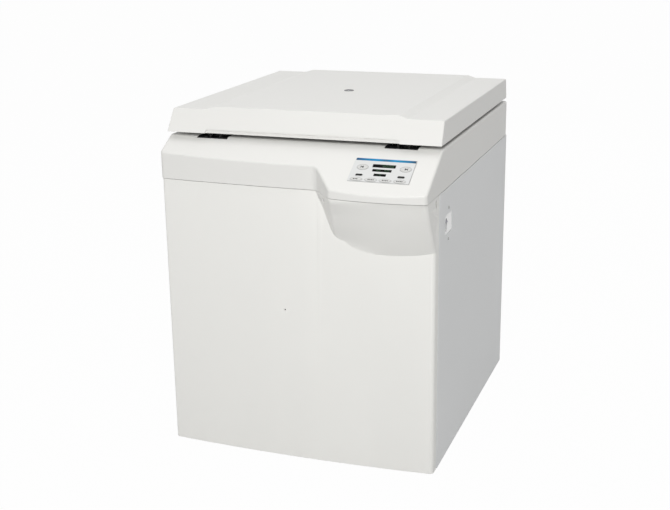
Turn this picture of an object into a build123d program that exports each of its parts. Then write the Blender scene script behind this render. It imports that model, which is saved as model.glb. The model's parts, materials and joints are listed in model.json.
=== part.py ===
from build123d import *
from math import pi, sin, sqrt
import os

# Floor-standing refrigerated centrifuge: a sheet steel cabinet, a moulded top housing with a
# sloped control console, a chamber with a swing-out rotor, and a hinged lid.
# While it is modelled, the front corners lie at Y = 0, the front looks towards -Y and the
# floor is Z = 0. The saved parts are moved so that the origin is the middle of the footprint.

# Cabinet
WIDTH = 680.0
DEPTH = 763.0
SEAM_Z = 681.0
FRONT_BOW = 13.4
CORNER_RADIUS = 11.0
SEAM_GAP = 1.5
SHEET = 2.0
MOULDING = 4.0
PANEL_FOOT_Z = 4.0
PANEL_BACK_Y = 28.0
PANEL_SETBACK = 1.0
PANEL_RETURN = 16.0
SIDE_EDGE_RADIUS = 9.0
PART_GAP = 0.3
RUNNING = 0.05
HALF = WIDTH / 2

# Top housing and control console
HOUSING_HEIGHT = 97.5
HOUSING_PROUD = 2.5
HOUSING_SETBACK = 11.0
HOUSING_BOSS, BOSS_CLEARANCE = 8.0, 4.0
CREST_RADIUS = 25.0
SLOPE_START_Y = 57.0
SLOPE_RISE = 0.548
EDGE_RADIUS = 6.0
CONSOLE_WIDTH = 280.0
CONSOLE_WALL_RUN = 55.0
CONSOLE_LEFT_REACH = 67.5
CONSOLE_MIDDLE_REACH = 80.0
CONSOLE_RIGHT_REACH = 76.5
CONSOLE_FOOT_RADIUS = 28.0
CONSOLE_WALL_RADIUS = 12.0
CONSOLE_ROOT_Y = 20.0
DECK_Z = SEAM_Z + HOUSING_HEIGHT
HOUSING_REAR_Y = DEPTH - HOUSING_SETBACK
CONSOLE_FOOT_X = HALF - CONSOLE_WIDTH

# Scoop that carries the front panel out to the console
SCOOP_LEFT_HEIGHT, SCOOP_MIDDLE_HEIGHT, SCOOP_RIGHT_HEIGHT = 105.0, 141.0, 128.0
SCOOP_DEPTH = 150.0
SCOOP_LEAN = 0.393
SCOOP_BULGE = 0.035
SCOOP_FOOT_RADIUS = 26.0
SCOOP_DIP = 0.1
SCOOP_STEPS = (0.0, 0.12, 0.26, 0.42, 0.6, 0.8, 1.0)
FRONT_HOLE_X, FRONT_HOLE_Z, FRONT_HOLE_RADIUS = -23.0, 385.0, 2.0
SCOOP_FOOT_Z = SEAM_Z - SCOOP_DEPTH

# Control panel, laid out on the slope around its centre
OVERLAY_FROM_SIDE, OVERLAY_Y = 120.25, -17.75
OVERLAY_WIDTH, OVERLAY_HEIGHT = 143.0, 80.4
OVERLAY_THICKNESS = 1.5
OVERLAY_RECESS = 1.0
OVERLAY_LEDGE = 2.2
OVERLAY_RADIUS = 4.0
DISPLAYS = [(0.75, 15.5, 53.0, 10.5), (-0.75, 0.3, 44.0, 8.0), (-1.75, -14.5, 28.0, 8.0)]
OVAL_KEYS = {
    "key_round_left": (-47.75, 8.8, 24.0, 16.0),
    "key_round_right": (52.25, 8.8, 24.0, 16.0),
    "key_row_1": (-51.75, -32.0, 26.0, 10.0),
    "key_row_2": (-17.75, -32.0, 26.0, 10.0),
    "key_row_3": (15.25, -32.0, 26.0, 10.0),
    "key_row_4": (48.25, -32.0, 26.0, 10.0),
}
SLOT_KEYS = {
    "key_small_left": (-48.75, -18.0, 17.0, 7.0),
    "key_small_right": (48.25, -18.0, 17.0, 7.0),
}
KEY_SHAPES = {**OVAL_KEYS, **SLOT_KEYS}
KEY_PROUD = 0.7
KEY_TRAVEL = 0.6
KEY_LENGTH = 9.0
BOARD_DEPTH = 12.0
BOARD_THICKNESS = 1.6
BOARD_WIDTH, BOARD_HEIGHT = 146.0, 84.0
SWITCH_RADIUS = 3.0
STANDOFF_RADIUS, STANDOFF_INSET = 3.0, 4.0
OVERLAY_X = HALF - OVERLAY_FROM_SIDE

# Lid
LID_GAP = 9.2
LID_INSET = 0.5
LID_SETBACK = 0.8
LID_FRONT_Y = 40.2
LID_HEIGHT = 51.5
LID_LEAN = 0.664
LID_DRAFT = 2.2
LID_WING = 109.4
PLATEAU_HEIGHT = 6.4
PLATEAU_SLOPE = 21.4
LID_FRONT_WALL = 8.0
LID_EDGE_RADIUS = 3.0
GRIP_FROM_LEFT, GRIP_FROM_RIGHT = 100.0, 98.0
GRIP_HEIGHT = 8.3
GRIP_LIP = 3.3
GRIP_DEPTH = 3.5
GRIP_REACH = 6.0
GRIP_RADIUS = 6.0
LINER = 2.0
LINER_FRONT = 2.0
FOAM_EDGE = 15.0
FOAM_FRONT, FOAM_REAR = 40.0, 40.0
PORT_RADIUS = 12.5
PORT_TUBE_RADIUS = 9.0
PORT_WALL = 1.8
PORT_FLANGE = 1.5
LID_Z = DECK_Z + LID_GAP
LID_WING_Z = LID_Z + LID_HEIGHT
LID_TOP_Z = LID_WING_Z + PLATEAU_HEIGHT
LID_REAR_Y = HOUSING_REAR_Y - LID_SETBACK
LID_HALF = HALF - LID_INSET
PLATEAU_HALF = HALF - LID_WING
GRIP_X = (GRIP_FROM_LEFT - HALF, HALF - GRIP_FROM_RIGHT)

# Lid hinges at the rear
HINGE_BACK, HINGE_RISE = 5.5, 4.5
HINGE_FROM_SIDE = 135.0
HINGE_LENGTH = 110.0
KNUCKLE_RADIUS = 5.2
HINGE_PIN_RADIUS = 3.0
PIN_CAP_RADIUS, PIN_CAP = 4.5, 2.0
HINGE_LEAF = 2.5
HINGE_LEAF_HEIGHT = 38.0
HINGE_Y = HOUSING_REAR_Y + HINGE_BACK
HINGE_Z = DECK_Z + HINGE_RISE
HINGES = (HINGE_FROM_SIDE - HALF, HALF - HINGE_FROM_SIDE)

# Lid latches at the front
LATCH_FROM_LEFT, LATCH_FROM_RIGHT = 114.0, 97.0
LATCH_Y = 72.0
BEZEL_HALF = 39.0
BEZEL_FRONT_Y, BEZEL_REAR_Y = 50.0, 102.0
BEZEL_DEPTH = 8.0
BEZEL_DISH, BEZEL_RIM = 3.0, 5.0
LATCH_SLOT_HALF, LATCH_SLOT_FRONT = 17.0, 10.0
STRIKER_HALF = 13.0
STRIKER_WIRE = 3.0
STRIKER_DROP = 20.5
STRIKER_PLATE, STRIKER_PLATE_EDGE, STRIKER_PLATE_HALF = 4.0, 9.0, 8.0
HOOK_BACK, HOOK_DROP = 14.0, 36.0
HOOK_THICKNESS = 10.0
HOOK_RELEASE = 25.0
HOOK_PIN_RADIUS, HOOK_HUB = 4.0, 5.0
HOOK_ARM = 10.0
HOOK_NOSE, HOOK_BEAK = 20.0, 8.0
LATCH_PLATE = 6.0
LATCH_FOOT_BACK = 16.0
CHEEK_FRONT, CHEEK_TOP, CHEEK_CLEARANCE = 22.0, 12.0, 1.0
ACTUATOR_RADIUS, ACTUATOR_LENGTH, ACTUATOR_RISE, ACTUATOR_PLATE = 16.0, 45.0, 20.0, 3.0
LATCH_X = (LATCH_FROM_LEFT - HALF, HALF - LATCH_FROM_RIGHT)
STRIKER_BAR_Z = DECK_Z - STRIKER_DROP
HOOK_PIVOT_Y = LATCH_Y + HOOK_BACK
HOOK_PIVOT_Z = STRIKER_BAR_Z - HOOK_DROP

# Chamber, around the vertical rotor axis at X = 0
ROTOR_BEHIND_MIDDLE = 18.5
CHAMBER_RADIUS = 258.0
BOWL_DEPTH = 327.5
BOWL_WALL = 2.0
BOWL_BEVEL = 18.0
BOWL_FLANGE = 22.0
COIL_THICKNESS, COIL_WIDTH = 6.0, 16.0
COIL_TURNS = 5
COIL_PITCH = 48.0
COIL_START = 36.0
INSULATION = 27.0
UNDER_BOWL = 15.0
GUARD_WALL, GUARD_DROP = 10.0, 16.5
FLOOR_PLATE = 6.0
FLOOR_HOLE, BOWL_HOLE = 30.0, 12.0
SEAL_FOOT, SEAL_HEIGHT, SEAL_WALL, SEAL_GAP = 4.0, 22.0, 6.0, 0.6
GASKET_WIDTH = 14.0
ROTOR_Y = DEPTH / 2 + ROTOR_BEHIND_MIDDLE
BOWL_TOP_Z = DECK_Z - MOULDING
BOWL_FLOOR_Z = BOWL_TOP_Z - BOWL_DEPTH
PLATE_TOP_Z = BOWL_FLOOR_Z - BOWL_WALL - UNDER_BOWL
FLOOR_PLATE_Z = PLATE_TOP_Z - FLOOR_PLATE
BOWL_RIM = CHAMBER_RADIUS + BOWL_WALL
GUARD_INNER = CHAMBER_RADIUS + INSULATION

# Swing-out rotor
TRUNNION_HEIGHT = 193.0
TRUNNION_REACH = 112.0
TRUNNION_RADIUS = 6.0
TRUNNION_TIP, TRUNNION_SEAT = 47.0, 12.0
YOKE_RADIUS = 150.0
YOKE_HEIGHT = 36.0
YOKE_CHAMFER = 3.0
YOKE_SIDE, YOKE_POCKET, YOKE_POCKET_RADIUS = 56.0, 60.0, 50.0
HUB_RADIUS = 34.0
HUB_LENGTH = 48.0
BUCKET_RADIUS = 46.0
BUCKET_WALL = 2.5
BUCKET_BEVEL = 10.0
BUCKET_ABOVE, BUCKET_BELOW = 20.0, 112.0
BOSS_RADIUS, BOSS_REACH, BOSS_TOP = 12.0, 51.0, 14.0
SHAFT_RADIUS = 15.0
NUT_HEIGHT, NUT_FLANGE, NUT_WAIST = 30.0, 8.0, 9.0
FLUTES, FLUTE_RADIUS, FLUTE_INSET = 6, 7.0, 4.0
NUT_CHAMFER = 3.0
TRUNNION_Z = BOWL_FLOOR_Z + TRUNNION_HEIGHT
YOKE_TOP_Z = TRUNNION_Z + YOKE_HEIGHT / 2

# Drive motor under the chamber floor
MOTOR_RADIUS = 85.0
MOTOR_LENGTH = 190.0
MOTOR_FLANGE_RADIUS, MOTOR_FLANGE = 105.0, 8.0
MOTOR_MOUNT_RADIUS, MOTOR_MOUNT_HEIGHT, MOTOR_MOUNT_REACH = 14.0, 18.0, 86.0
MOTOR_FIN, MOTOR_FIN_HEIGHT, MOTOR_FINS = 5.0, 7.0, 12
MOTOR_FIN_LOW, MOTOR_FIN_HIGH = 25.0, 30.0
BEARING_DEPTH, BEARING_WALL, BEARING_RISE = 40.0, 14.0, 10.0
MOTOR_TOP_Z = FLOOR_PLATE_Z - MOTOR_MOUNT_HEIGHT

# Chassis and feet
TRAY_Z, TRAY_HEIGHT, TRAY_WALL = 14.0, 40.0, 3.0
POST, SIDE_RAIL = 30.0, 8.0
FRAME_DROP = 5.0
FOOT_FROM_SIDE, FOOT_FRONT_Y, FOOT_FROM_REAR = 60.0, 85.0, 51.0
FOOT_RADIUS, FOOT_HEIGHT, FOOT_BEVEL = 25.0, 10.0, 3.0
STUD_RADIUS, STUD_SHORT = 8.0, 6.0
FOOT_NUT_RADIUS, FOOT_NUT = 13.6, 8.0
TRAY_FLOOR_Z = TRAY_Z + TRAY_WALL
FRAME_TOP_Z = SEAM_Z - FRAME_DROP
CHASSIS_HALF = HALF - SHEET
CHASSIS_FRONT_Y = PANEL_BACK_Y + PART_GAP + SHEET
CHASSIS_REAR_Y = DEPTH - 2 * SHEET

# Circuit breaker in the right-hand side panel
BREAKER_Y, BREAKER_BELOW_SEAM = 113.5, 86.5
BREAKER_WIDTH, BREAKER_NOSE = 60.0, 45.0
BREAKER_RECESS, BREAKER_NOSE_DEPTH, BREAKER_CASE_DEPTH = 0.5, 18.0, 46.0
BREAKER_CASE = 85.0
BREAKER_GAP = 0.6
TOGGLE_INSET, TOGGLE_FORWARD = 14.5, 20.0
TOGGLE_WIDTH, TOGGLE_LENGTH, TOGGLE_HEIGHT = 14.0, 17.0, 6.0
TOGGLE_RADIUS, TOGGLE_TIP, TOGGLE_ANGLE = 7.0, 1.5, 30.0
TOGGLE_PIN_RADIUS, TOGGLE_PIN_SEAT, TOGGLE_WELL = 1.5, 2.0, 4.0
BRACKET, BRACKET_EDGE = 3.0, 12.0
SCREW_SPACING, SCREW_FORWARD = 75.0, 2.5
SCREW_RADIUS, SCREW_HEAD_RADIUS, SCREW_HEAD = 2.0, 3.6, 1.4
REAR_SCREW_Z = (60.0, 245.0, 450.0)
REAR_SCREW_DROP = 41.0
BREAKER_Z = SEAM_Z - BREAKER_BELOW_SEAM
BREAKER_FACE_X = HALF - BREAKER_RECESS
BREAKER_SHOULDER_X = BREAKER_FACE_X - BREAKER_NOSE_DEPTH
BREAKER_BACK_X = BREAKER_SHOULDER_X - BREAKER_CASE_DEPTH
TOGGLE_X, TOGGLE_Y = HALF - TOGGLE_INSET, BREAKER_Y - TOGGLE_FORWARD
SCREW_Y = BREAKER_Y - SCREW_FORWARD

# Cooling circuit and drive electronics on the base
COMPRESSOR_FROM_SIDE, COMPRESSOR_FROM_REAR = 155.0, 173.0
COMPRESSOR_RADIUS, COMPRESSOR_HEIGHT, COMPRESSOR_BEVEL = 82.0, 215.0, 24.0
COMPRESSOR_FOOT, COMPRESSOR_PLATE_RADIUS = 41.0, 15.0
COMPRESSOR_MOUNT, COMPRESSOR_MOUNT_RADIUS, COMPRESSOR_MOUNT_INSET = 12.0, 11.0, 16.0
TERMINAL_BOX, TERMINAL_HALF, TERMINAL_RISE, TERMINAL_HEIGHT = 28.0, 25.0, 90.0, 60.0
CONDENSER_FROM_SIDE, CONDENSER_RIGHT_X = 40.0, -30.0
CONDENSER_FROM_REAR, CONDENSER_DEPTH, CONDENSER_HEIGHT = 123.0, 50.0, 280.0
CONDENSER_FINS, CONDENSER_FIN, CONDENSER_ROWS = 10, 1.5, 3
FAN_RADIUS = 112.0
FAN_FROM_REAR = 41.0
FAN_BLADES, BLADE_ROOT, BLADE_TIP, BLADE, BLADE_ANGLE = 5, 44.0, 80.0, 2.4, 62.0
FAN_HUB_RADIUS, FAN_HUB_LENGTH = 28.0, 22.0
FAN_TIP_GAP = 3.0
SHROUD, SHROUD_LENGTH = 3.0, 62.0
SPOKE, SPOKE_HALF, SPOKE_BACK = 6.0, 5.0, 20.0
FAN_MOTOR_RADIUS, FAN_MOTOR, FAN_MOTOR_BACK = 32.0, 20.0, 14.0
PIPE_RADIUS = 4.0
PIPE_BEND = 22.0
LINE_RISE, LINE_SIDE, LINE_INSET = 60.0, 60.0, 40.0
DRIER_SIDE, DRIER_FORWARD, DRIER_RADIUS, DRIER_LOW, DRIER_LENGTH = 85.0, 110.0, 14.0, 90.0, 100.0
SUCTION_FORWARD = 70.0
INVERTER_X, INVERTER_Y = (-160.0, 120.0), (95.0, 235.0)
INVERTER_HEIGHT, INVERTER_RADIUS = 200.0, 6.0
INVERTER_FINS, INVERTER_FIN, INVERTER_FIN_DEPTH, INVERTER_FIN_INSET = 14, 3.0, 18.0, 15.0
VENT_WIDTH, VENT_HEIGHT, VENT_PITCH, VENT_ROWS, VENT_APART = 105.0, 9.0, 22.0, 10, 12.0
GLAND_FROM_SIDE, GLAND_Z, GLAND_RADIUS, GLAND_BORE = 90.0, 120.0, 11.0, 6.6
GLAND_PROUD, GLAND_INSIDE, GLAND_NUT, GLAND_NUT_RADIUS = 8.0, 8.0, 6.0, 15.4
COMPRESSOR_X, COMPRESSOR_Y = HALF - COMPRESSOR_FROM_SIDE, DEPTH - COMPRESSOR_FROM_REAR
COMPRESSOR_FOOT_Z = TRAY_FLOOR_Z + COMPRESSOR_MOUNT
COMPRESSOR_TOP_Z = COMPRESSOR_FOOT_Z + BRACKET + COMPRESSOR_HEIGHT
CONDENSER_X = (CONDENSER_FROM_SIDE - HALF, CONDENSER_RIGHT_X)
CONDENSER_Y = (DEPTH - CONDENSER_FROM_REAR, DEPTH - CONDENSER_FROM_REAR + CONDENSER_DEPTH)
CONDENSER_Z = (TRAY_FLOOR_Z, TRAY_FLOOR_Z + CONDENSER_HEIGHT)
FAN_X, FAN_Y, FAN_Z = sum(CONDENSER_X) / 2, DEPTH - FAN_FROM_REAR, sum(CONDENSER_Z) / 2
GLAND_X = HALF - GLAND_FROM_SIDE

CONSOLE_REACH_Y = FRONT_BOW / 2 + HOUSING_PROUD + CONSOLE_MIDDLE_REACH
MIDDLE_Y = (DEPTH + GLAND_PROUD - CONSOLE_REACH_Y) / 2

os.makedirs("parts", exist_ok=True)


def save(name, *shapes):
    """Write one sub-part, with all its solids, as a STEP file."""
    solids = [solid for shape in shapes for solid in shape.solids()]
    whole = solids[0] if len(solids) == 1 else Compound(children=solids)
    export_step(whole.moved(Location((0, -MIDDLE_Y, 0))), f"parts/{name}.step")


def block(x, y, z):
    """A box between the low and high ends given for each axis."""
    centre = [(a + b) / 2 for a, b in (x, y, z)]
    return Pos(*centre) * Box(x[1] - x[0], y[1] - y[0], z[1] - z[0])


def upright(radius, z, x=0.0, y=ROTOR_Y):
    """A vertical cylinder between two heights, on the rotor axis unless told otherwise."""
    return Pos(x, y, (z[0] + z[1]) / 2) * Cylinder(radius, z[1] - z[0])


def across(radius, x, y, z):
    """A cylinder along X between two ends."""
    return Pos((x[0] + x[1]) / 2, y, z) * Rot(0, 90, 0) * Cylinder(radius, x[1] - x[0])


def along(radius, x, y, z):
    """A cylinder along Y between two ends."""
    return Pos(x, (y[0] + y[1]) / 2, z) * Rot(90, 0, 0) * Cylinder(radius, y[1] - y[0])


def section(r, z):
    """Half section of a round part, between two radii and two heights."""
    return Pos((r[0] + r[1]) / 2, (z[0] + z[1]) / 2) * Rectangle(r[1] - r[0], z[1] - z[0])


def turned(profile, x=0.0, y=ROTOR_Y):
    """A half section turned about an upright axis, the rotor's unless told otherwise."""
    return Pos(x, y, 0) * revolve(Plane.XZ * profile, Axis.Z)


def ring(outer, inner, z):
    """A ring about the rotor axis."""
    return turned(section((inner, outer), z))


def corner_at(shape, x, y):
    """The vertex of a flat outline that lies nearest to a point."""
    return min(shape.vertices(), key=lambda v: (v.X - x) ** 2 + (v.Y - y) ** 2)


def bow_y(x):
    """Y of the bowed front panel line at X."""
    radius = (HALF**2 + FRONT_BOW**2) / (2 * FRONT_BOW)
    return radius - FRONT_BOW - sqrt(radius**2 - x**2)


def front_plan(half, corner_y, back_y, radius):
    """Plan of a bowed front with rounded corners and straight sides."""
    bow = ThreePointArc((-half, corner_y), (0, corner_y - FRONT_BOW), (half, corner_y))
    sides = Polyline((half, corner_y), (half, back_y), (-half, back_y), (-half, corner_y))
    plan = make_face(Wire([bow, *sides.edges()]))
    plan = fillet(corner_at(plan, -half, corner_y), radius)
    return fillet(corner_at(plan, half, corner_y), radius)


def console_corners(foot_x, shares, proud, half):
    """Root, wall top, middle and right-hand end of the console's front in plan."""
    left, centre, right = shares
    wall_x = foot_x + CONSOLE_WALL_RUN * max(left, 0)
    middle_x = (wall_x + half) / 2
    wall = (wall_x, bow_y(wall_x) - proud - CONSOLE_LEFT_REACH * left)
    middle = (middle_x, bow_y(middle_x) - proud - CONSOLE_MIDDLE_REACH * centre)
    end = (half, bow_y(half) - proud - CONSOLE_RIGHT_REACH * right)
    lean = CONSOLE_WALL_RUN / CONSOLE_LEFT_REACH
    root = (wall_x - (CONSOLE_ROOT_Y - wall[1]) * lean, CONSOLE_ROOT_Y)
    return root, wall, middle, end


def console_plan(foot_x, shares, proud, half, wall_radius):
    """Plan of the part that stands in front of the bowed front panel line."""
    root, wall, middle, end = console_corners(foot_x, shares, proud, half)
    back = (half, CONSOLE_ROOT_Y)
    edges = [Line(root, wall), ThreePointArc(wall, middle, end), Line(end, back), Line(back, root)]
    plan = fillet(corner_at(make_face(Wire(edges)), *wall), wall_radius)
    return fillet(corner_at(plan, *end), CORNER_RADIUS)


slope = Plane(
    origin=(0, SLOPE_START_Y, DECK_Z), x_dir=(1, 0, 0), z_dir=(0, -SLOPE_RISE, 1)
)
panel_centre = Vector(OVERLAY_X, OVERLAY_Y, DECK_Z + SLOPE_RISE * (OVERLAY_Y - SLOPE_START_Y))
control_plane = Plane(origin=panel_centre, x_dir=(1, 0, 0), z_dir=slope.z_dir)


def on_slope(sketch, low, high):
    """A prism standing on the control panel plane between two heights."""
    return control_plane * Pos(0, 0, low) * extrude(sketch, high - low)


# Front panel with its scoop
def scoop_share(z, height):
    """How far the scoop stands out at a height, as a share of the console's full reach."""
    share = 1 - (SEAM_Z - z) / height
    return max(share + SCOOP_BULGE * sin(pi * max(share, 0)), -SCOOP_DIP)


def scoop(inset, top_z):
    """The flare from the front panel out to the console, deepest at its middle."""
    half = HALF - PANEL_SETBACK
    plans = []
    for step in SCOOP_STEPS:
        z = SCOOP_FOOT_Z + (top_z - SCOOP_FOOT_Z) * step
        heights = (SCOOP_LEFT_HEIGHT, SCOOP_MIDDLE_HEIGHT, SCOOP_RIGHT_HEIGHT)
        shares = [scoop_share(z, height) for height in heights]
        foot_x = CONSOLE_FOOT_X + SCOOP_LEAN * (SEAM_Z - z)
        radius = CONSOLE_WALL_RADIUS + (SCOOP_FOOT_RADIUS - CONSOLE_WALL_RADIUS) * (1 - step)
        plan = console_plan(foot_x, shares, 0, half, radius)
        plans.append(Pos(0, 0, z) * (offset(plan, -inset) if inset else plan))
    return loft(plans)


def front_panel():
    half = HALF - PANEL_SETBACK
    z = (PANEL_FOOT_Z, SEAM_Z)
    outline = front_plan(half, 0, PANEL_BACK_Y, CORNER_RADIUS)
    hollow = front_plan(
        half - MOULDING, MOULDING, PANEL_BACK_Y + 1, CORNER_RADIUS - MOULDING
    )
    skin = Pos(0, 0, z[0]) * extrude(outline, z[1] - z[0]) + scoop(0, SEAM_Z)
    skin -= Pos(0, 0, z[0] + MOULDING) * extrude(hollow, z[1] - z[0] - 2 * MOULDING)
    skin -= scoop(MOULDING, SEAM_Z - MOULDING)
    hole_y = (-FRONT_BOW - 1, MOULDING)
    return skin - along(FRONT_HOLE_RADIUS, FRONT_HOLE_X, hole_y, FRONT_HOLE_Z)


# Top housing: deck, slope and console in one moulding
def housing_plan():
    half = HALF
    body = front_plan(half, -HOUSING_PROUD, HOUSING_REAR_Y, CORNER_RADIUS)
    full = (1.0, 1.0, 1.0)
    console = console_plan(CONSOLE_FOOT_X, full, HOUSING_PROUD, half, CONSOLE_WALL_RADIUS)
    plan = Sketch() + body + console
    foot = (CONSOLE_FOOT_X, bow_y(CONSOLE_FOOT_X) - HOUSING_PROUD)
    return fillet(corner_at(plan, *foot), CONSOLE_FOOT_RADIUS)


def housing_form():
    """The outside of the top housing, with its rounded upper edges."""
    low = SEAM_Z + SEAM_GAP
    form = Pos(0, 0, low) * extrude(housing_plan(), DECK_Z - low)
    form = split(form, bisect_by=slope, keep=Keep.BOTTOM)
    crest = [edge for edge in form.edges() if abs(edge.center().Y - SLOPE_START_Y) < 0.1]
    form = fillet([edge for edge in crest if edge.center().Z > DECK_Z - 1], CREST_RADIUS)
    tops = [face for face in form.faces() if face.normal_at().Z > 0.5]
    inner = [e for e in form.edges().filter_by(Axis.X) if e.center().Y < HOUSING_REAR_Y - 1]
    rim = ShapeList(edge for face in tops for edge in face.edges() if edge not in inner)
    return fillet(rim, EDGE_RADIUS)


def latch_opening(x, gap):
    """The deck cut-out for a latch bezel."""
    half = BEZEL_HALF + gap
    low = DECK_Z - BEZEL_DEPTH - gap
    y = (BEZEL_FRONT_Y - gap, BEZEL_REAR_Y + gap)
    return block((x - half, x + half), y, (low, DECK_Z + MOULDING))


def housing_bosses(form):
    """Bosses under the deck that stand on the frame's corners."""
    low = SEAM_Z + SEAM_GAP
    boss_x = HALF - PANEL_RETURN - HOUSING_BOSS - BOSS_CLEARANCE
    bosses = []
    for x in (-boss_x, boss_x):
        for y in (CHASSIS_FRONT_Y + POST / 2, HOUSING_REAR_Y - POST / 2):
            bosses.append(upright(HOUSING_BOSS, (FRAME_TOP_Z, low + 1), x, y))
            bosses.append(upright(HOUSING_BOSS, (low, DECK_Z), x, y) & form)
    return bosses


def top_housing(form):
    low = SEAM_Z + SEAM_GAP
    inner = Pos(0, 0, low - 1) * extrude(offset(housing_plan(), -MOULDING), BOWL_TOP_Z - low + 1)
    shell = form - split(inner, bisect_by=slope.offset(-MOULDING), keep=Keep.BOTTOM)
    for boss in housing_bosses(form):
        shell += boss
    shell -= upright(CHAMBER_RADIUS, (low, DECK_Z + 1))
    for x in LATCH_X:
        shell -= latch_opening(x, PART_GAP)
    recess = RectangleRounded(
        OVERLAY_WIDTH + 2 * PART_GAP, OVERLAY_HEIGHT + 2 * PART_GAP, OVERLAY_RADIUS
    )
    window = Rectangle(OVERLAY_WIDTH - 2 * OVERLAY_LEDGE, OVERLAY_HEIGHT - 2 * OVERLAY_LEDGE)
    shell -= on_slope(recess, -OVERLAY_RECESS, OVERLAY_RADIUS)
    shell -= on_slope(window, -BOARD_DEPTH + BOARD_THICKNESS, 0)
    peg_x, peg_y = BOARD_WIDTH / 2 - STANDOFF_INSET, BOARD_HEIGHT / 2 - STANDOFF_INSET
    for x in (-peg_x, peg_x):
        for y in (-peg_y, peg_y):
            shell += on_slope(Pos(x, y) * Circle(STANDOFF_RADIUS), -BOARD_DEPTH, -MOULDING / 2)
    return shell


# Control panel
def key_outline(name, gap=0.0):
    """Outline of one key in its place on the control panel."""
    u, v, width, height = KEY_SHAPES[name]
    if name in SLOT_KEYS:
        return Pos(u, v) * SlotOverall(width + 2 * gap, height + 2 * gap)
    return Pos(u, v) * Ellipse(width / 2 + gap, height / 2 + gap)


def control_overlay():
    top = OVERLAY_THICKNESS - OVERLAY_RECESS
    sheet = on_slope(
        RectangleRounded(OVERLAY_WIDTH, OVERLAY_HEIGHT, OVERLAY_RADIUS), -OVERLAY_RECESS, top
    )
    for u, v, width, height in DISPLAYS:
        hole = Pos(u, v) * Rectangle(width + 2 * PART_GAP, height + 2 * PART_GAP)
        sheet -= on_slope(hole, -OVERLAY_RECESS - 1, top + 1)
    for name in KEY_SHAPES:
        sheet -= on_slope(key_outline(name, PART_GAP), -OVERLAY_RECESS - 1, top + 1)
    return sheet


def display_windows():
    top = OVERLAY_THICKNESS - OVERLAY_RECESS
    return [
        on_slope(Pos(u, v) * Rectangle(width, height), -OVERLAY_RECESS, top)
        for u, v, width, height in DISPLAYS
    ]


def key(name):
    """A key cap with the stem that presses its dome switch."""
    top = OVERLAY_THICKNESS - OVERLAY_RECESS + KEY_PROUD
    return on_slope(key_outline(name), top - KEY_LENGTH, top)


def control_board():
    """Circuit board with its display modules and one dome switch under each key."""
    board = on_slope(
        Rectangle(BOARD_WIDTH, BOARD_HEIGHT), -BOARD_DEPTH - BOARD_THICKNESS, -BOARD_DEPTH
    )
    for u, v, width, height in DISPLAYS:
        module = Pos(u, v) * Rectangle(width - BOARD_THICKNESS, height - BOARD_THICKNESS)
        board += on_slope(module, -BOARD_DEPTH, -OVERLAY_RECESS - PART_GAP)
    key_foot = OVERLAY_THICKNESS - OVERLAY_RECESS + KEY_PROUD - KEY_LENGTH
    for u, v, _, _ in KEY_SHAPES.values():
        switch = Pos(u, v) * Circle(SWITCH_RADIUS)
        board += on_slope(switch, -BOARD_DEPTH, key_foot - KEY_TRAVEL - RUNNING)
    return board


# Lid
def lid_form(wall, front_wall, low):
    """The lid's solid shape, drawn in by a wall at the sides, rear and top."""
    top, wing = LID_TOP_Z - wall, LID_WING_Z - wall
    front = LID_FRONT_Y + front_wall * sqrt(1 + LID_LEAN**2)
    side = make_face(
        Polyline(
            (front + LID_LEAN * (low - LID_Z), low),
            (front + LID_LEAN * (top - LID_Z), top),
            (LID_REAR_Y - wall, top),
            (LID_REAR_Y - wall, low),
            close=True,
        )
    )
    half, plateau = LID_HALF - wall, PLATEAU_HALF - wall / 3
    right = [(half, low), (half - LID_DRAFT, wing), (plateau + PLATEAU_SLOPE, wing), (plateau, top)]
    left = [(-x, z) for x, z in reversed(right)]
    across_lid = make_face(Polyline(*right, *left, close=True))
    long = Plane.YZ * side
    deep = Plane.XZ.offset(-2 * DEPTH) * across_lid
    return extrude(long, WIDTH, both=True) & extrude(deep, 3 * DEPTH)


def grip_cutter():
    """Finger recess along the lower front edge."""
    low, high = LID_Z - GRIP_HEIGHT, LID_Z + GRIP_HEIGHT
    front = LID_FRONT_Y + GRIP_DEPTH
    reach = LID_LEAN * GRIP_HEIGHT
    side = Polyline((front - reach, low), (front + reach, high), (0, high), (0, low), close=True)
    face = RectangleRounded(GRIP_X[1] - GRIP_X[0], 2 * GRIP_HEIGHT, GRIP_RADIUS)
    face = Pos(sum(GRIP_X) / 2, LID_Z) * face
    lean = extrude(Plane.YZ * make_face(side), WIDTH, both=True)
    return lean & extrude(Plane.XZ * face, WIDTH / 2, both=True)


def lid_cover():
    form = lid_form(0, 0, LID_Z)
    form = fillet(form.edges().filter_by(lambda e: e.center().Z > LID_Z + 1), LID_EDGE_RADIUS)
    form -= lid_form(MOULDING, LID_FRONT_WALL, LID_Z - 1)
    form -= grip_cutter()
    form -= block(GRIP_X, (0, LID_FRONT_Y + GRIP_REACH), (LID_Z - 1, LID_Z + GRIP_LIP))
    return form - upright(PORT_TUBE_RADIUS + PART_GAP, (LID_Z, LID_TOP_Z + 1))


def striker_legs(x, radius, low, high):
    return [upright(radius, (low, high), x + side * STRIKER_HALF, LATCH_Y) for side in (-1, 1)]


def lid_liner():
    x = LID_HALF - MOULDING - PART_GAP
    front = LID_FRONT_Y + LID_FRONT_WALL * sqrt(1 + LID_LEAN**2) + LINER_FRONT
    sheet = block((-x, x), (front, LID_REAR_Y - MOULDING - PART_GAP), (LID_Z, LID_Z + LINER))
    sheet -= upright(PORT_TUBE_RADIUS + PART_GAP, (LID_Z - 1, LID_Z + LINER + 1))
    for latch_x in LATCH_X:
        for leg in striker_legs(latch_x, STRIKER_WIRE + PART_GAP, LID_Z - 1, LID_Z + LINER + 1):
            sheet -= leg
    return sheet


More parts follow.
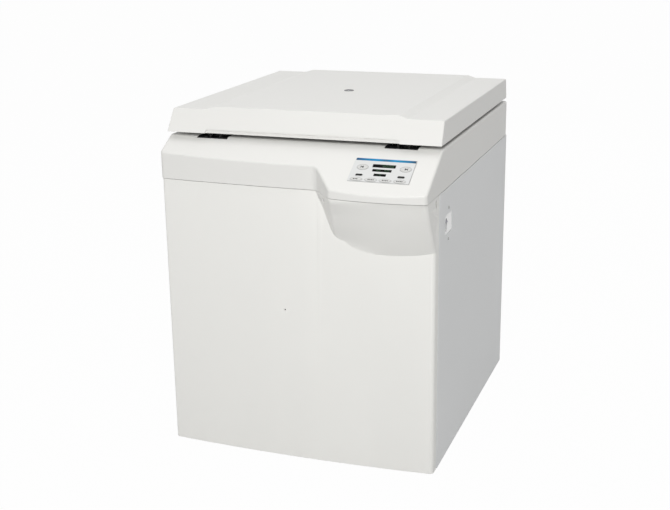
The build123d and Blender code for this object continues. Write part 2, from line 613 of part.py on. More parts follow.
def lid_foam():
    z = (LID_Z + LINER, LID_TOP_Z - MOULDING - PART_GAP)
    x = PLATEAU_HALF - FOAM_EDGE
    foam = block((-x, x), (LATCH_Y + FOAM_FRONT, LID_REAR_Y - FOAM_REAR), z)
    return foam - upright(PORT_TUBE_RADIUS + PART_GAP, (z[0] - 1, z[1] + 1))


def port_tube():
    top = LID_TOP_Z + PORT_FLANGE
    body = upright(PORT_RADIUS, (LID_TOP_Z, top)) + upright(PORT_TUBE_RADIUS, (LID_Z, top))
    body = chamfer(body.edges().sort_by(Axis.Z)[-1], PORT_FLANGE / 2)
    body -= upright(PORT_TUBE_RADIUS - PORT_WALL, (LID_Z - 1, top + 1))
    return body - upright(PORT_TUBE_RADIUS - PORT_WALL / 2, (top - PORT_FLANGE, top + 1))


def port_glass():
    top = LID_TOP_Z + PORT_FLANGE
    z = (top - PORT_FLANGE, top - PORT_FLANGE / 2)
    return upright(PORT_TUBE_RADIUS - PORT_WALL / 2 - RUNNING, z)


def striker(x):
    """A steel loop that hangs from a plate inside the lid."""
    plate_z = (LID_Z + LINER, LID_Z + LINER + STRIKER_PLATE)
    reach = STRIKER_HALF + STRIKER_PLATE_EDGE
    y = (LATCH_Y - STRIKER_PLATE_HALF, LATCH_Y + STRIKER_PLATE_HALF)
    loop = block((x - reach, x + reach), y, plate_z)
    for leg in striker_legs(x, STRIKER_WIRE, STRIKER_BAR_Z, plate_z[1]):
        loop += leg
    ends = (x - STRIKER_HALF, x + STRIKER_HALF)
    loop += across(STRIKER_WIRE, ends, LATCH_Y, STRIKER_BAR_Z)
    for end in ends:
        loop += Pos(end, LATCH_Y, STRIKER_BAR_Z) * Sphere(STRIKER_WIRE)
    return loop


# Hinges
def knuckles(x, fixed):
    """Knuckle spans of one hinge: two on the housing, one between them on the lid."""
    third = HINGE_LENGTH / 3
    middle = (x - third / 2 + PART_GAP, x + third / 2 - PART_GAP)
    outer = [(x - HINGE_LENGTH / 2, x - third / 2), (x + third / 2, x + HINGE_LENGTH / 2)]
    return outer if fixed else [middle]


def hinge_leaf(x, fixed):
    face_y = HOUSING_REAR_Y if fixed else LID_REAR_Y
    y = (face_y, face_y + HINGE_LEAF)
    clear = KNUCKLE_RADIUS + PART_GAP
    ends = (x - HINGE_LENGTH / 2, x + HINGE_LENGTH / 2)
    if fixed:
        leaf = block(ends, y, (HINGE_Z - HINGE_LEAF_HEIGHT, HINGE_Z - clear))
    else:
        leaf = block(ends, y, (HINGE_Z + clear, HINGE_Z + HINGE_LEAF_HEIGHT))
    bore = across(HINGE_PIN_RADIUS + RUNNING, (ends[0] - 1, ends[1] + 1), HINGE_Y, HINGE_Z)
    for span in knuckles(x, fixed):
        low, high = (HINGE_Z - clear - 1, HINGE_Z) if fixed else (HINGE_Z, HINGE_Z + clear + 1)
        leaf += block(span, y, (low, high)) + across(KNUCKLE_RADIUS, span, HINGE_Y, HINGE_Z)
    return leaf - bore


def hinge_pin(x):
    ends = (x - HINGE_LENGTH / 2, x + HINGE_LENGTH / 2)
    pin = across(HINGE_PIN_RADIUS, ends, HINGE_Y, HINGE_Z)
    for end, out in ((ends[0], -PIN_CAP), (ends[1], PIN_CAP)):
        pin += across(PIN_CAP_RADIUS, sorted((end, end + out)), HINGE_Y, HINGE_Z)
    return pin


# Latches
def latch_bezel(x, form):
    """Black surround set flush in the deck, dished towards the latch slot."""
    body = form & latch_opening(x, 0)
    half, rear = BEZEL_HALF - BEZEL_RIM, BEZEL_REAR_Y - BEZEL_RIM
    over = DECK_Z + MOULDING
    dish = block((x - half, x + half), (0, rear), (DECK_Z - BEZEL_DISH, over))
    slot_x = (x - LATCH_SLOT_HALF, x + LATCH_SLOT_HALF)
    return body - dish - block(slot_x, (LATCH_Y - LATCH_SLOT_FRONT, rear), (SEAM_Z, over))


def latch_body(x):
    """Steel bracket on the front rail, with the hook's pin and its actuator."""
    inside = LATCH_SLOT_HALF + CHEEK_CLEARANCE
    outside = inside + LATCH_PLATE
    back = HOOK_PIVOT_Y + LATCH_FOOT_BACK
    span = (x - outside, x + outside)
    body = block(span, (CHASSIS_FRONT_Y, back), (FRAME_TOP_Z, FRAME_TOP_Z + LATCH_PLATE))
    for side in (-1, 1):
        cheek = sorted((x + side * inside, x + side * outside))
        cheek_z = (FRAME_TOP_Z, HOOK_PIVOT_Z + CHEEK_TOP)
        body += block(cheek, (HOOK_PIVOT_Y - CHEEK_FRONT, back), cheek_z)
    pin_x = (x - outside - TOGGLE_PIN_SEAT, x + outside + TOGGLE_PIN_SEAT)
    body += across(HOOK_PIN_RADIUS, pin_x, HOOK_PIVOT_Y, HOOK_PIVOT_Z)
    actuator_z = FRAME_TOP_Z + ACTUATOR_RISE
    body += along(ACTUATOR_RADIUS, x, (back - 1, back + ACTUATOR_LENGTH), actuator_z)
    plate_z = (FRAME_TOP_Z, actuator_z + ACTUATOR_RADIUS + RUNNING)
    return body + block(span, (back - ACTUATOR_PLATE, back), plate_z)


def latch_hook(x):
    """Hook drawn engaged over the striker bar, then turned back to its released rest."""
    under = STRIKER_BAR_Z - HOOK_PIVOT_Z + STRIKER_WIRE + 2 * PART_GAP
    top, bevel = under + HOOK_BEAK, HOOK_BEAK / 2
    outline = Polyline(
        (HOOK_ARM / 2, 0), (HOOK_ARM / 2, top - bevel), (HOOK_ARM / 2 - bevel, top),
        (bevel - HOOK_NOSE, top), (-HOOK_NOSE, top - bevel), (-HOOK_NOSE, under),
        (-HOOK_ARM / 2, under), (-HOOK_ARM / 2, 0), close=True,
    )
    plate = extrude(Plane.YZ * make_face(outline), HOOK_THICKNESS / 2, both=True)
    hub = (-LATCH_SLOT_HALF, LATCH_SLOT_HALF)
    plate += across(HOOK_PIN_RADIUS + HOOK_HUB, hub, 0, 0)
    plate -= across(HOOK_PIN_RADIUS + RUNNING, (hub[0] - 1, hub[1] + 1), 0, 0)
    return Pos(x, HOOK_PIVOT_Y, HOOK_PIVOT_Z) * Rot(-HOOK_RELEASE, 0, 0) * plate


# Chamber
def chamber_bowl():
    """Drawn steel bowl with a bevelled floor edge and a flange under the deck."""
    foot_z = BOWL_FLOOR_Z - BOWL_WALL
    outer = section((SHAFT_RADIUS + BOWL_HOLE, BOWL_RIM), (foot_z, BOWL_TOP_Z))
    outer = chamfer(corner_at(outer, BOWL_RIM, foot_z), BOWL_BEVEL + BOWL_WALL / 2)
    well = section((0, CHAMBER_RADIUS), (BOWL_FLOOR_Z, BOWL_TOP_Z + 1))
    well = chamfer(corner_at(well, CHAMBER_RADIUS, BOWL_FLOOR_Z), BOWL_BEVEL)
    flange_z = (BOWL_TOP_Z - BOWL_WALL, BOWL_TOP_Z)
    return turned(outer - well + section((CHAMBER_RADIUS, BOWL_RIM + BOWL_FLANGE), flange_z))


def evaporator_coil():
    """Flattened copper tube wound round the bowl."""
    radius = BOWL_RIM + PART_GAP + COIL_THICKNESS / 2
    path = Helix(COIL_PITCH, COIL_PITCH * COIL_TURNS, radius)
    start = Plane(origin=path @ 0, x_dir=(1, 0, 0), z_dir=path % 0)
    tube = sweep(start * Rectangle(COIL_THICKNESS, COIL_WIDTH), path, is_frenet=True)
    return Pos(0, ROTOR_Y, BOWL_FLOOR_Z + COIL_START) * tube


def chamber_insulation():
    """Foam between the wound bowl and the guard ring, and under the bowl's floor."""
    outer = GUARD_INNER - PART_GAP
    coil = BOWL_RIM + COIL_THICKNESS + 2 * PART_GAP
    foam = section((coil, outer), (PLATE_TOP_Z, BOWL_TOP_Z - BOWL_WALL))
    under = section((SHAFT_RADIUS + FLOOR_HOLE, outer), (PLATE_TOP_Z, BOWL_FLOOR_Z - BOWL_WALL))
    return turned(foam + under)


def chamber_floor():
    """Steel plate that carries the guard ring and the motor."""
    x = CHASSIS_HALF
    y = (CHASSIS_FRONT_Y + POST, CHASSIS_REAR_Y - POST)
    plate = block((-x, x), y, (FLOOR_PLATE_Z, PLATE_TOP_Z))
    return plate - upright(SHAFT_RADIUS + FLOOR_HOLE, (FLOOR_PLATE_Z - 1, PLATE_TOP_Z + 1))


def shaft_seal():
    """Rubber boot between the bowl floor and the drive shaft."""
    inner = SHAFT_RADIUS + SEAL_GAP
    foot = section((inner, SHAFT_RADIUS + FLOOR_HOLE), (BOWL_FLOOR_Z, BOWL_FLOOR_Z + SEAL_FOOT))
    lip = section((inner, inner + SEAL_WALL), (BOWL_FLOOR_Z, BOWL_FLOOR_Z + SEAL_HEIGHT))
    return turned(foot + lip)


# Rotor
def yoke_pocket():
    """Plan of the pocket that one bucket swings through, open at the yoke's rim."""
    inner, outer = TRUNNION_REACH - YOKE_POCKET, 2 * YOKE_RADIUS
    plan = Pos((inner + outer) / 2, 0) * Rectangle(outer - inner, 2 * YOKE_SIDE)
    return fillet(plan.vertices().sort_by(Axis.X)[:2], YOKE_POCKET_RADIUS)


def rotor_yoke():
    """Four arms between the buckets' pockets, on a hub that fits over the shaft."""
    low = YOKE_TOP_Z - YOKE_HEIGHT
    yoke = upright(YOKE_RADIUS, (low, YOKE_TOP_Z))
    pocket = extrude(yoke_pocket(), YOKE_HEIGHT + 2)
    for turn in range(4):
        yoke -= Pos(0, ROTOR_Y, low - 1) * Rot(0, 0, 90 * turn) * pocket
    rims = yoke.edges().filter_by(lambda e: abs(e.center().Z - YOKE_TOP_Z) < 0.1)
    yoke = chamfer(rims, YOKE_CHAMFER)
    yoke += upright(HUB_RADIUS, (low - HUB_LENGTH, low + 1))
    yoke -= upright(SHAFT_RADIUS, (low - HUB_LENGTH - 1, YOKE_TOP_Z + 1))
    for pin in trunnion_pins():
        yoke -= pin
    return yoke


def trunnion_pins():
    """Two pins for each bucket, pressed into the arms beside its pocket."""
    pins = []
    for turn in range(4):
        for side in (-1, 1):
            span = sorted((side * TRUNNION_TIP, side * (YOKE_SIDE + TRUNNION_SEAT)))
            pin = along(TRUNNION_RADIUS, TRUNNION_REACH, span, TRUNNION_Z)
            pins.append(Pos(0, ROTOR_Y, 0) * Rot(0, 0, 90 * turn) * pin)
    return pins


def rotor_shaft():
    """Drive shaft up to the yoke's top, with a stud for the hand nut."""
    stud = upright(SHAFT_RADIUS / 2, (YOKE_TOP_Z - 1, YOKE_TOP_Z + NUT_HEIGHT / 2))
    return upright(SHAFT_RADIUS, (MOTOR_TOP_Z - BEARING_DEPTH, YOKE_TOP_Z)) + stud


def rotor_nut():
    """Fluted hand nut that clamps the rotor."""
    low, top = YOKE_TOP_Z, YOKE_TOP_Z + NUT_HEIGHT
    waist = HUB_RADIUS - NUT_WAIST
    profile = section((0, HUB_RADIUS), (low, low + NUT_FLANGE)) + section((0, waist), (low, top))
    profile -= section((0, SHAFT_RADIUS / 2 + RUNNING), (low, low + NUT_HEIGHT / 2 + RUNNING))
    nut = turned(chamfer(corner_at(profile, waist, top), NUT_CHAMFER))
    for turn in range(FLUTES):
        flute = Pos(HUB_RADIUS - FLUTE_INSET, 0, low + NUT_FLANGE + NUT_HEIGHT / 2)
        flute *= Cylinder(FLUTE_RADIUS, NUT_HEIGHT)
        nut -= Pos(0, ROTOR_Y, 0) * Rot(0, 0, 360 / FLUTES * turn) * flute
    return nut


def bucket(turn):
    """Swing bucket with a downward open groove in a boss on each side."""
    z = (-BUCKET_BELOW, BUCKET_ABOVE)
    cup = section((0, BUCKET_RADIUS), z)
    cup = chamfer(corner_at(cup, BUCKET_RADIUS, z[0]), BUCKET_BEVEL)
    inside, floor = BUCKET_RADIUS - BUCKET_WALL, z[0] + BUCKET_WALL
    well = section((0, inside), (floor, z[1] + 1))
    well = chamfer(corner_at(well, inside, floor), BUCKET_BEVEL - BUCKET_WALL / 2)
    bosses = along(BOSS_RADIUS, 0, (-BOSS_REACH, BOSS_REACH), 0)
    bosses += block((-BOSS_RADIUS, BOSS_RADIUS), (-BOSS_REACH, BOSS_REACH), (0, BOSS_TOP))
    body = turned(cup, 0, 0) + bosses - turned(well, 0, 0)
    hole = TRUNNION_RADIUS + RUNNING
    for side in (-1, 1):
        span = sorted((side * (TRUNNION_TIP - PART_GAP), side * (BOSS_REACH + 1)))
        body -= along(hole, 0, span, 0) + block((-hole, hole), span, (-2 * BOSS_RADIUS, 0))
    return Pos(0, ROTOR_Y, TRUNNION_Z) * Rot(0, 0, 90 * turn) * Pos(TRUNNION_REACH, 0, 0) * body


# Drive motor
def drive_motor():
    """Finned motor with a mounting flange and a bearing for the rotor shaft."""
    top = MOTOR_TOP_Z
    low = top - MOTOR_FLANGE - MOTOR_LENGTH
    profile = section((0, MOTOR_RADIUS), (low, top))
    profile += section((0, MOTOR_FLANGE_RADIUS), (top - MOTOR_FLANGE, top))
    profile += section((0, SHAFT_RADIUS + BEARING_WALL), (low, top + BEARING_RISE))
    bore = SHAFT_RADIUS + RUNNING
    motor = turned(profile - section((0, bore), (top - BEARING_DEPTH, top + BEARING_RISE)))
    fin = block(
        (MOTOR_RADIUS - 1, MOTOR_RADIUS + MOTOR_FIN_HEIGHT), (-MOTOR_FIN / 2, MOTOR_FIN / 2),
        (low + MOTOR_FIN_LOW, top - MOTOR_FIN_HIGH),
    )
    for turn in range(MOTOR_FINS):
        motor += Pos(0, ROTOR_Y, 0) * Rot(0, 0, 360 / MOTOR_FINS * turn) * fin
    return motor


def motor_mounts():
    reach = MOTOR_MOUNT_REACH / sqrt(2)
    corners = [(x, ROTOR_Y + y) for x in (-reach, reach) for y in (-reach, reach)]
    return [upright(MOTOR_MOUNT_RADIUS, (MOTOR_TOP_Z, FLOOR_PLATE_Z), x, y) for x, y in corners]


# Base tray and frame
def chassis_plan():
    """Footprint of the frame, rounded at the front to sit inside the side panels."""
    half, front, rear = CHASSIS_HALF, CHASSIS_FRONT_Y, CHASSIS_REAR_Y
    plan = make_face(Polyline((-half, front), (half, front), (half, rear), (-half, rear), close=True))
    for x in (-half, half):
        plan = fillet(corner_at(plan, x, front), SIDE_EDGE_RADIUS - SHEET + PART_GAP)
    return plan


def base_tray():
    """Folded steel tray that carries the machinery, with holes for the feet."""
    height = TRAY_HEIGHT
    tray = extrude(chassis_plan(), height)
    tray -= Pos(0, 0, TRAY_WALL) * extrude(offset(chassis_plan(), -TRAY_WALL), height)
    tray = Pos(0, 0, TRAY_Z) * tray
    for foot_x, foot_y in foot_places():
        tray -= upright(STUD_RADIUS + PART_GAP, (0, TRAY_Z + height), foot_x, foot_y)
    return tray


def frame():
    """Welded posts with two levels of rails: one for the chamber floor, one for the housing."""
    x, front, rear = CHASSIS_HALF, CHASSIS_FRONT_Y, CHASSIS_REAR_Y
    ends = ((front, front + POST), (rear - POST, rear))
    welded = Part()
    for top in (FLOOR_PLATE_Z, FRAME_TOP_Z):
        z = (top - POST, top)
        for y in ends:
            welded += block((-x, x), y, z)
        for side in (-1, 1):
            welded += block(sorted((side * x, side * (x - SIDE_RAIL))), (front, rear), z)
    for side in (-1, 1):
        for y in ends:
            post_x = sorted((side * x, side * (x - POST)))
            welded += block(post_x, y, (TRAY_Z + TRAY_HEIGHT, FRAME_TOP_Z))
    return welded & extrude(chassis_plan(), FRAME_TOP_Z)


def foot_places():
    foot_x = HALF - FOOT_FROM_SIDE
    return [(x, y) for x in (-foot_x, foot_x) for y in (FOOT_FRONT_Y, DEPTH - FOOT_FROM_REAR)]


def levelling_foot(x, y):
    """Rubber pad on a threaded stud, with its lock nut on the tray."""
    pad = upright(FOOT_RADIUS, (0, FOOT_HEIGHT), x, y)
    pad = chamfer(pad.edges().sort_by(Axis.Z)[-1], FOOT_BEVEL)
    stud = upright(STUD_RADIUS, (FOOT_HEIGHT - 1, TRAY_Z + TRAY_HEIGHT - STUD_SHORT), x, y)
    nut = Pos(x, y, TRAY_FLOOR_Z) * extrude(RegularPolygon(FOOT_NUT_RADIUS, 6), FOOT_NUT)
    return pad + stud + nut


# Side and rear panels
def side_panel(side):
    """Folded sheet with returns all round and a rounded front corner."""
    forms = []
    for inset, return_inset in ((0, 0), (SHEET, 1)):
        x = sorted((side * (HALF - inset), side * (HALF - PANEL_RETURN - return_inset)))
        y = (PANEL_BACK_Y + PART_GAP + inset, DEPTH - SHEET - inset)
        body = block(x, y, (PANEL_FOOT_Z + inset, SEAM_Z - inset))
        edges = body.edges().filter_by(Axis.Z)
        edge = edges.sort_by(lambda e: e.center().Y - side * e.center().X)[0]
        forms.append(fillet(edge, SIDE_EDGE_RADIUS - inset))
    panel = forms[0] - forms[1]
    for x, z in rear_screw_places():
        panel -= along(SCREW_RADIUS + RUNNING, x, (CHASSIS_REAR_Y, DEPTH), z)
    return panel


def rear_screw_places():
    x = HALF - PANEL_RETURN / 2
    return [(side * x, z) for side in (-1, 1) for z in (*REAR_SCREW_Z, SEAM_Z - REAR_SCREW_DROP)]


def breaker_screw_heights():
    return [BREAKER_Z - SCREW_SPACING / 2, BREAKER_Z + SCREW_SPACING / 2]


def breaker_cutouts():
    """Nose window and screw holes that the panel and the bracket share."""
    half_y, half_z = BREAKER_WIDTH / 2 + BREAKER_GAP, BREAKER_NOSE / 2 + BREAKER_GAP
    x = (BREAKER_SHOULDER_X, HALF + 1)
    cut = block(
        x, (BREAKER_Y - half_y, BREAKER_Y + half_y), (BREAKER_Z - half_z, BREAKER_Z + half_z)
    )
    for z in breaker_screw_heights():
        cut += across(SCREW_RADIUS + RUNNING, x, SCREW_Y, z)
    return cut


def rear_panel():
    """Flat sheet with louvre slots for the condenser and a folded top edge."""
    sheet = block((-HALF, HALF), (DEPTH - SHEET, DEPTH), (PANEL_FOOT_Z, SEAM_Z))
    fold_x = HALF - PANEL_RETURN - PART_GAP
    sheet += block((-fold_x, fold_x), (DEPTH - PANEL_RETURN, DEPTH), (SEAM_Z - SHEET, SEAM_Z))
    slot = Box(VENT_WIDTH, 4 * SHEET, VENT_HEIGHT)
    for row in range(VENT_ROWS):
        z = FAN_Z + (row - (VENT_ROWS - 1) / 2) * VENT_PITCH
        for side in (-1, 1):
            sheet -= Pos(FAN_X + side * (VENT_WIDTH + VENT_APART) / 2, DEPTH, z) * slot
    through = (DEPTH - SHEET - 1, DEPTH + 1)
    for x, z in rear_screw_places():
        sheet -= along(SCREW_RADIUS + RUNNING, x, through, z)
    return sheet - along(GLAND_RADIUS + RUNNING, GLAND_X, through, GLAND_Z)


def cover_screws():
    """Pan head screws of the breaker bracket and the rear panel."""
    screws = []
    for z in breaker_screw_heights():
        head = across(SCREW_HEAD_RADIUS, (HALF, HALF + SCREW_HEAD), SCREW_Y, z)
        screws.append(head + across(SCREW_RADIUS, (HALF - 2 * SHEET, HALF), SCREW_Y, z))
    for x, z in rear_screw_places():
        head = along(SCREW_HEAD_RADIUS, x, (DEPTH, DEPTH + SCREW_HEAD), z)
        screws.append(head + along(SCREW_RADIUS, x, (CHASSIS_REAR_Y, DEPTH), z))
    return screws


# Circuit breaker
def breaker_body():
    y = (BREAKER_Y - BREAKER_WIDTH / 2, BREAKER_Y + BREAKER_WIDTH / 2)
    case_z = (BREAKER_Z - BREAKER_CASE / 2, BREAKER_Z + BREAKER_CASE / 2)
    nose_z = (BREAKER_Z - BREAKER_NOSE / 2, BREAKER_Z + BREAKER_NOSE / 2)
    body = block((BREAKER_BACK_X, BREAKER_SHOULDER_X), y, case_z)
    body += block((BREAKER_SHOULDER_X - 1, BREAKER_FACE_X), y, nose_z)
    half = TOGGLE_WIDTH / 2 + PART_GAP
    well_z = (BREAKER_Z - BREAKER_NOSE / 3, BREAKER_Z + BREAKER_NOSE / 3)
    well_x = (TOGGLE_X - TOGGLE_RADIUS - TOGGLE_WELL, BREAKER_FACE_X + 1)
    body -= block(well_x, (TOGGLE_Y - half, TOGGLE_Y + half), well_z)
    pin_y = (TOGGLE_Y - half - TOGGLE_PIN_SEAT, TOGGLE_Y + half + TOGGLE_PIN_SEAT)
    return body - along(TOGGLE_PIN_RADIUS + RUNNING, TOGGLE_X, pin_y, BREAKER_Z)


def breaker_toggle():
    """Lever drawn level, then turned up to its on position."""
    half = TOGGLE_WIDTH / 2
    lever = block((0, TOGGLE_LENGTH), (-half, half), (-TOGGLE_HEIGHT / 2, TOGGLE_HEIGHT / 2))
    lever = fillet(lever.edges().filter_by(Axis.Y).sort_by(Axis.X)[-2:], TOGGLE_TIP)
    lever += along(TOGGLE_RADIUS, 0, (-half, half), 0)
    pin_half = half + TOGGLE_PIN_SEAT
    lever += along(TOGGLE_PIN_RADIUS, 0, (-pin_half, pin_half), 0)
    return Pos(TOGGLE_X, TOGGLE_Y, BREAKER_Z) * Rot(0, -TOGGLE_ANGLE, 0) * lever


def breaker_bracket():
    """Folded strap behind the side panel, open at both ends, that holds the breaker."""
    reach_y, reach_z = BREAKER_WIDTH / 2 + BRACKET_EDGE, BREAKER_CASE / 2 + 2 * BRACKET
    x = (BREAKER_BACK_X - BRACKET, HALF - SHEET)
    y = (BREAKER_Y - reach_y, BREAKER_Y + reach_y)
    z = (BREAKER_Z - reach_z, BREAKER_Z + reach_z)
    inside = block(
        (x[0] + BRACKET, x[1] - BRACKET), (y[0] - 1, y[1] + 1), (z[0] + BRACKET, z[1] - BRACKET)
    )
    return block(x, y, z) - inside - breaker_cutouts()


# Cooling circuit, drive electronics and mains gland
def compressor():
    """Hermetic compressor: a can on a foot plate, with its terminal box."""
    low = COMPRESSOR_FOOT_Z + BRACKET
    can = section((0, COMPRESSOR_RADIUS), (low, COMPRESSOR_TOP_Z))
    for z in (low, COMPRESSOR_TOP_Z):
        can = chamfer(corner_at(can, COMPRESSOR_RADIUS, z), COMPRESSOR_BEVEL)
    shell = turned(can, COMPRESSOR_X, COMPRESSOR_Y)
    plate = RectangleRounded(2 * COMPRESSOR_RADIUS, 2 * COMPRESSOR_RADIUS, COMPRESSOR_PLATE_RADIUS)
    shell += Pos(COMPRESSOR_X, COMPRESSOR_Y, COMPRESSOR_FOOT_Z) * extrude(plate, BRACKET)
    side_x = COMPRESSOR_X + COMPRESSOR_RADIUS
    box_z = (COMPRESSOR_FOOT_Z + TERMINAL_RISE, COMPRESSOR_FOOT_Z + TERMINAL_RISE + TERMINAL_HEIGHT)
    box_y = (COMPRESSOR_Y - TERMINAL_HALF, COMPRESSOR_Y + TERMINAL_HALF)
    return shell + block((side_x - TERMINAL_BOX / 3, side_x + TERMINAL_BOX), box_y, box_z)


def compressor_mounts():
    reach = COMPRESSOR_RADIUS - COMPRESSOR_MOUNT_INSET
    z = (TRAY_FLOOR_Z, COMPRESSOR_FOOT_Z)
    corners = [(x, y) for x in (-reach, reach) for y in (-reach, reach)]
    return [
        upright(COMPRESSOR_MOUNT_RADIUS, z, COMPRESSOR_X + x, COMPRESSOR_Y + y) for x, y in corners
    ]


def condenser():
    """Fins on rows of tube between two end plates."""
    step = (CONDENSER_X[1] - CONDENSER_X[0] - CONDENSER_FIN) / (CONDENSER_FINS - 1)
    core = Part()
    for fin in range(CONDENSER_FINS):
        x = CONDENSER_X[0] + fin * step
        core += block((x, x + CONDENSER_FIN), CONDENSER_Y, CONDENSER_Z)
    for row in range(CONDENSER_ROWS):
        z = CONDENSER_Z[0] + CONDENSER_HEIGHT * (row + 0.5) / CONDENSER_ROWS
        core += across(PIPE_RADIUS, CONDENSER_X, sum(CONDENSER_Y) / 2, z)
    return core


def fan_shroud():
    """Duct on the condenser's rear face, with spokes that carry the fan motor."""
    front, duct = CONDENSER_Y[1], FAN_RADIUS + FAN_TIP_GAP
    y = (front, front + SHROUD_LENGTH)
    shroud = block(CONDENSER_X, (front, front + SHROUD), CONDENSER_Z)
    shroud += along(duct + SHROUD, FAN_X, y, FAN_Z)
    shroud -= along(duct, FAN_X, (y[0] - 1, y[1] + 1), FAN_Z)
    spoke_y = (FAN_Y + SPOKE_BACK, FAN_Y + SPOKE_BACK + SPOKE)
    spoke = block((-duct - 1, duct + 1), spoke_y, (-SPOKE_HALF, SPOKE_HALF))
    for turn in range(2):
        shroud += Pos(FAN_X, 0, FAN_Z) * Rot(0, 45 + 90 * turn, 0) * spoke
    motor_y = (FAN_Y + FAN_MOTOR_BACK, FAN_Y + FAN_MOTOR_BACK + FAN_MOTOR)
    shroud += along(FAN_MOTOR_RADIUS, FAN_X, motor_y, FAN_Z)
    return shroud + along(PIPE_RADIUS, FAN_X, (FAN_Y - FAN_HUB_LENGTH / 2, motor_y[0] + 1), FAN_Z)


def fan():
    """Five pitched blades on a hub, trimmed to the duct."""
    ends = (FAN_Y - FAN_HUB_LENGTH / 2, FAN_Y + FAN_HUB_LENGTH / 2)
    length = FAN_RADIUS - FAN_HUB_RADIUS + 2 * PIPE_RADIUS
    plan = Trapezoid(BLADE_ROOT, length, BLADE_TIP, rotation=90)
    plan = Pos((FAN_HUB_RADIUS + FAN_RADIUS) / 2 - PIPE_RADIUS, 0) * plan
    blade = Pos(0, FAN_Y, 0) * Rot(-BLADE_ANGLE, 0, 0) * extrude(plan, BLADE / 2, both=True)
    rotor = along(FAN_HUB_RADIUS, 0, ends, 0)
    for turn in range(FAN_BLADES):
        rotor += Rot(0, 360 / FAN_BLADES * turn, 0) * blade
    rotor &= along(FAN_RADIUS, 0, ends, 0)
    rotor -= along(PIPE_RADIUS + RUNNING, 0, (ends[0] - 1, ends[1] + 1), 0)
    return Pos(FAN_X, 0, FAN_Z) * rotor


def pipe(*points):
    path = FilletPolyline(*points, radius=PIPE_BEND)
    return sweep(Plane(origin=path @ 0, z_dir=path % 0) * Circle(PIPE_RADIUS), path)


def refrigerant_lines():
    """Discharge, liquid and suction lines, with the filter drier on the liquid line."""
    x, y, top = COMPRESSOR_X, COMPRESSOR_Y, COMPRESSOR_TOP_Z
    core_x, core_y = CONDENSER_X[1], sum(CONDENSER_Y) / 2
    high, low = CONDENSER_Z[1] - LINE_INSET, CONDENSER_Z[0] + LINE_INSET
    over, turn_x = top + LINE_RISE, core_x + LINE_SIDE
    discharge = pipe(
        (x, y, top), (x, y, over), (turn_x, y, over), (turn_x, core_y, over),
        (turn_x, core_y, high), (core_x, core_y, high),
    )
    drier_x, drier_y = core_x + DRIER_SIDE, core_y - DRIER_FORWARD
    liquid = pipe(
        (core_x, core_y, low), (drier_x, core_y, low), (drier_x, drier_y, low),
        (drier_x, drier_y, FLOOR_PLATE_Z),
    )
    drier_z = (low + DRIER_LOW, low + DRIER_LOW + DRIER_LENGTH)
    liquid += upright(DRIER_RADIUS, drier_z, drier_x, drier_y)
    entry_y, entry_z = y - COMPRESSOR_RADIUS, top - COMPRESSOR_HEIGHT / 2
    suction_y = entry_y - SUCTION_FORWARD
    suction = pipe((x, entry_y, entry_z), (x, suction_y, entry_z), (x, suction_y, FLOOR_PLATE_Z))
    return [discharge, liquid, suction]


def inverter():
    """Drive electronics box with cooling fins towards the motor."""
    z = (TRAY_FLOOR_Z, TRAY_FLOOR_Z + INVERTER_HEIGHT)
    box = block(INVERTER_X, INVERTER_Y, z)
    box = fillet(box.edges().filter_by(Axis.Z), INVERTER_RADIUS)
    first, last = INVERTER_X[0] + INVERTER_FIN_INSET, INVERTER_X[1] - INVERTER_FIN_INSET
    fin_y = (INVERTER_Y[1] - 1, INVERTER_Y[1] + INVERTER_FIN_DEPTH)
    for fin in range(INVERTER_FINS):
        x = first + (last - first) * fin / (INVERTER_FINS - 1)
        box += block((x - INVERTER_FIN / 2, x + INVERTER_FIN / 2), fin_y, z)
    return box


def cable_gland():
    """Low mains cable gland through the rear panel, with its lock nut inside."""
    ends = (DEPTH - SHEET - GLAND_INSIDE, DEPTH + GLAND_PROUD)
    body = along(GLAND_RADIUS, GLAND_X, (ends[0], DEPTH), GLAND_Z)
    for start, length in ((DEPTH, GLAND_PROUD), (DEPTH - SHEET - GLAND_NUT, GLAND_NUT)):
        nut = extrude(RegularPolygon(GLAND_NUT_RADIUS, 6), length)
        body += Pos(GLAND_X, start + length, GLAND_Z) * Rot(90, 0, 0) * nut
    return body - along(GLAND_BORE, GLAND_X, (ends[0] - 1, ends[1] + 1), GLAND_Z)


housing = housing_form()
save("top_housing", top_housing(housing))
save("latch_bezels", *[latch_bezel(x, housing) for x in LATCH_X])
save("front_panel", front_panel())
save("left_side_panel", side_panel(-1))
save("right_side_panel", side_panel(1) - breaker_cutouts())
save("rear_panel", rear_panel())
save("base_tray", base_tray())
save("frame", frame())
save("levelling_feet", *[levelling_foot(x, y) for x, y in foot_places()])
save("cover_screws", *cover_screws())

save("control_overlay", control_overlay())
save("display_windows", *display_windows())
save("control_board", control_board())
for name in KEY_SHAPES:
    save(name, key(name))

save("lid_cover", lid_cover())
save("lid_liner", lid_liner())
save("lid_foam", lid_foam())
save("port_tube", port_tube())
save("port_glass", port_glass())
save("lid_strikers", *[striker(x) for x in LATCH_X])
save("lid_hinge_leaves", *[hinge_leaf(x, False) for x in HINGES])
save("housing_hinge_leaves", *[hinge_leaf(x, True) for x in HINGES])
save("hinge_pins", *[hinge_pin(x) for x in HINGES])

save("latch_bodies", *[latch_body(x) for x in LATCH_X])
save("left_latch_hook", latch_hook(LATCH_X[0]))
save("right_latch_hook", latch_hook(LATCH_X[1]))

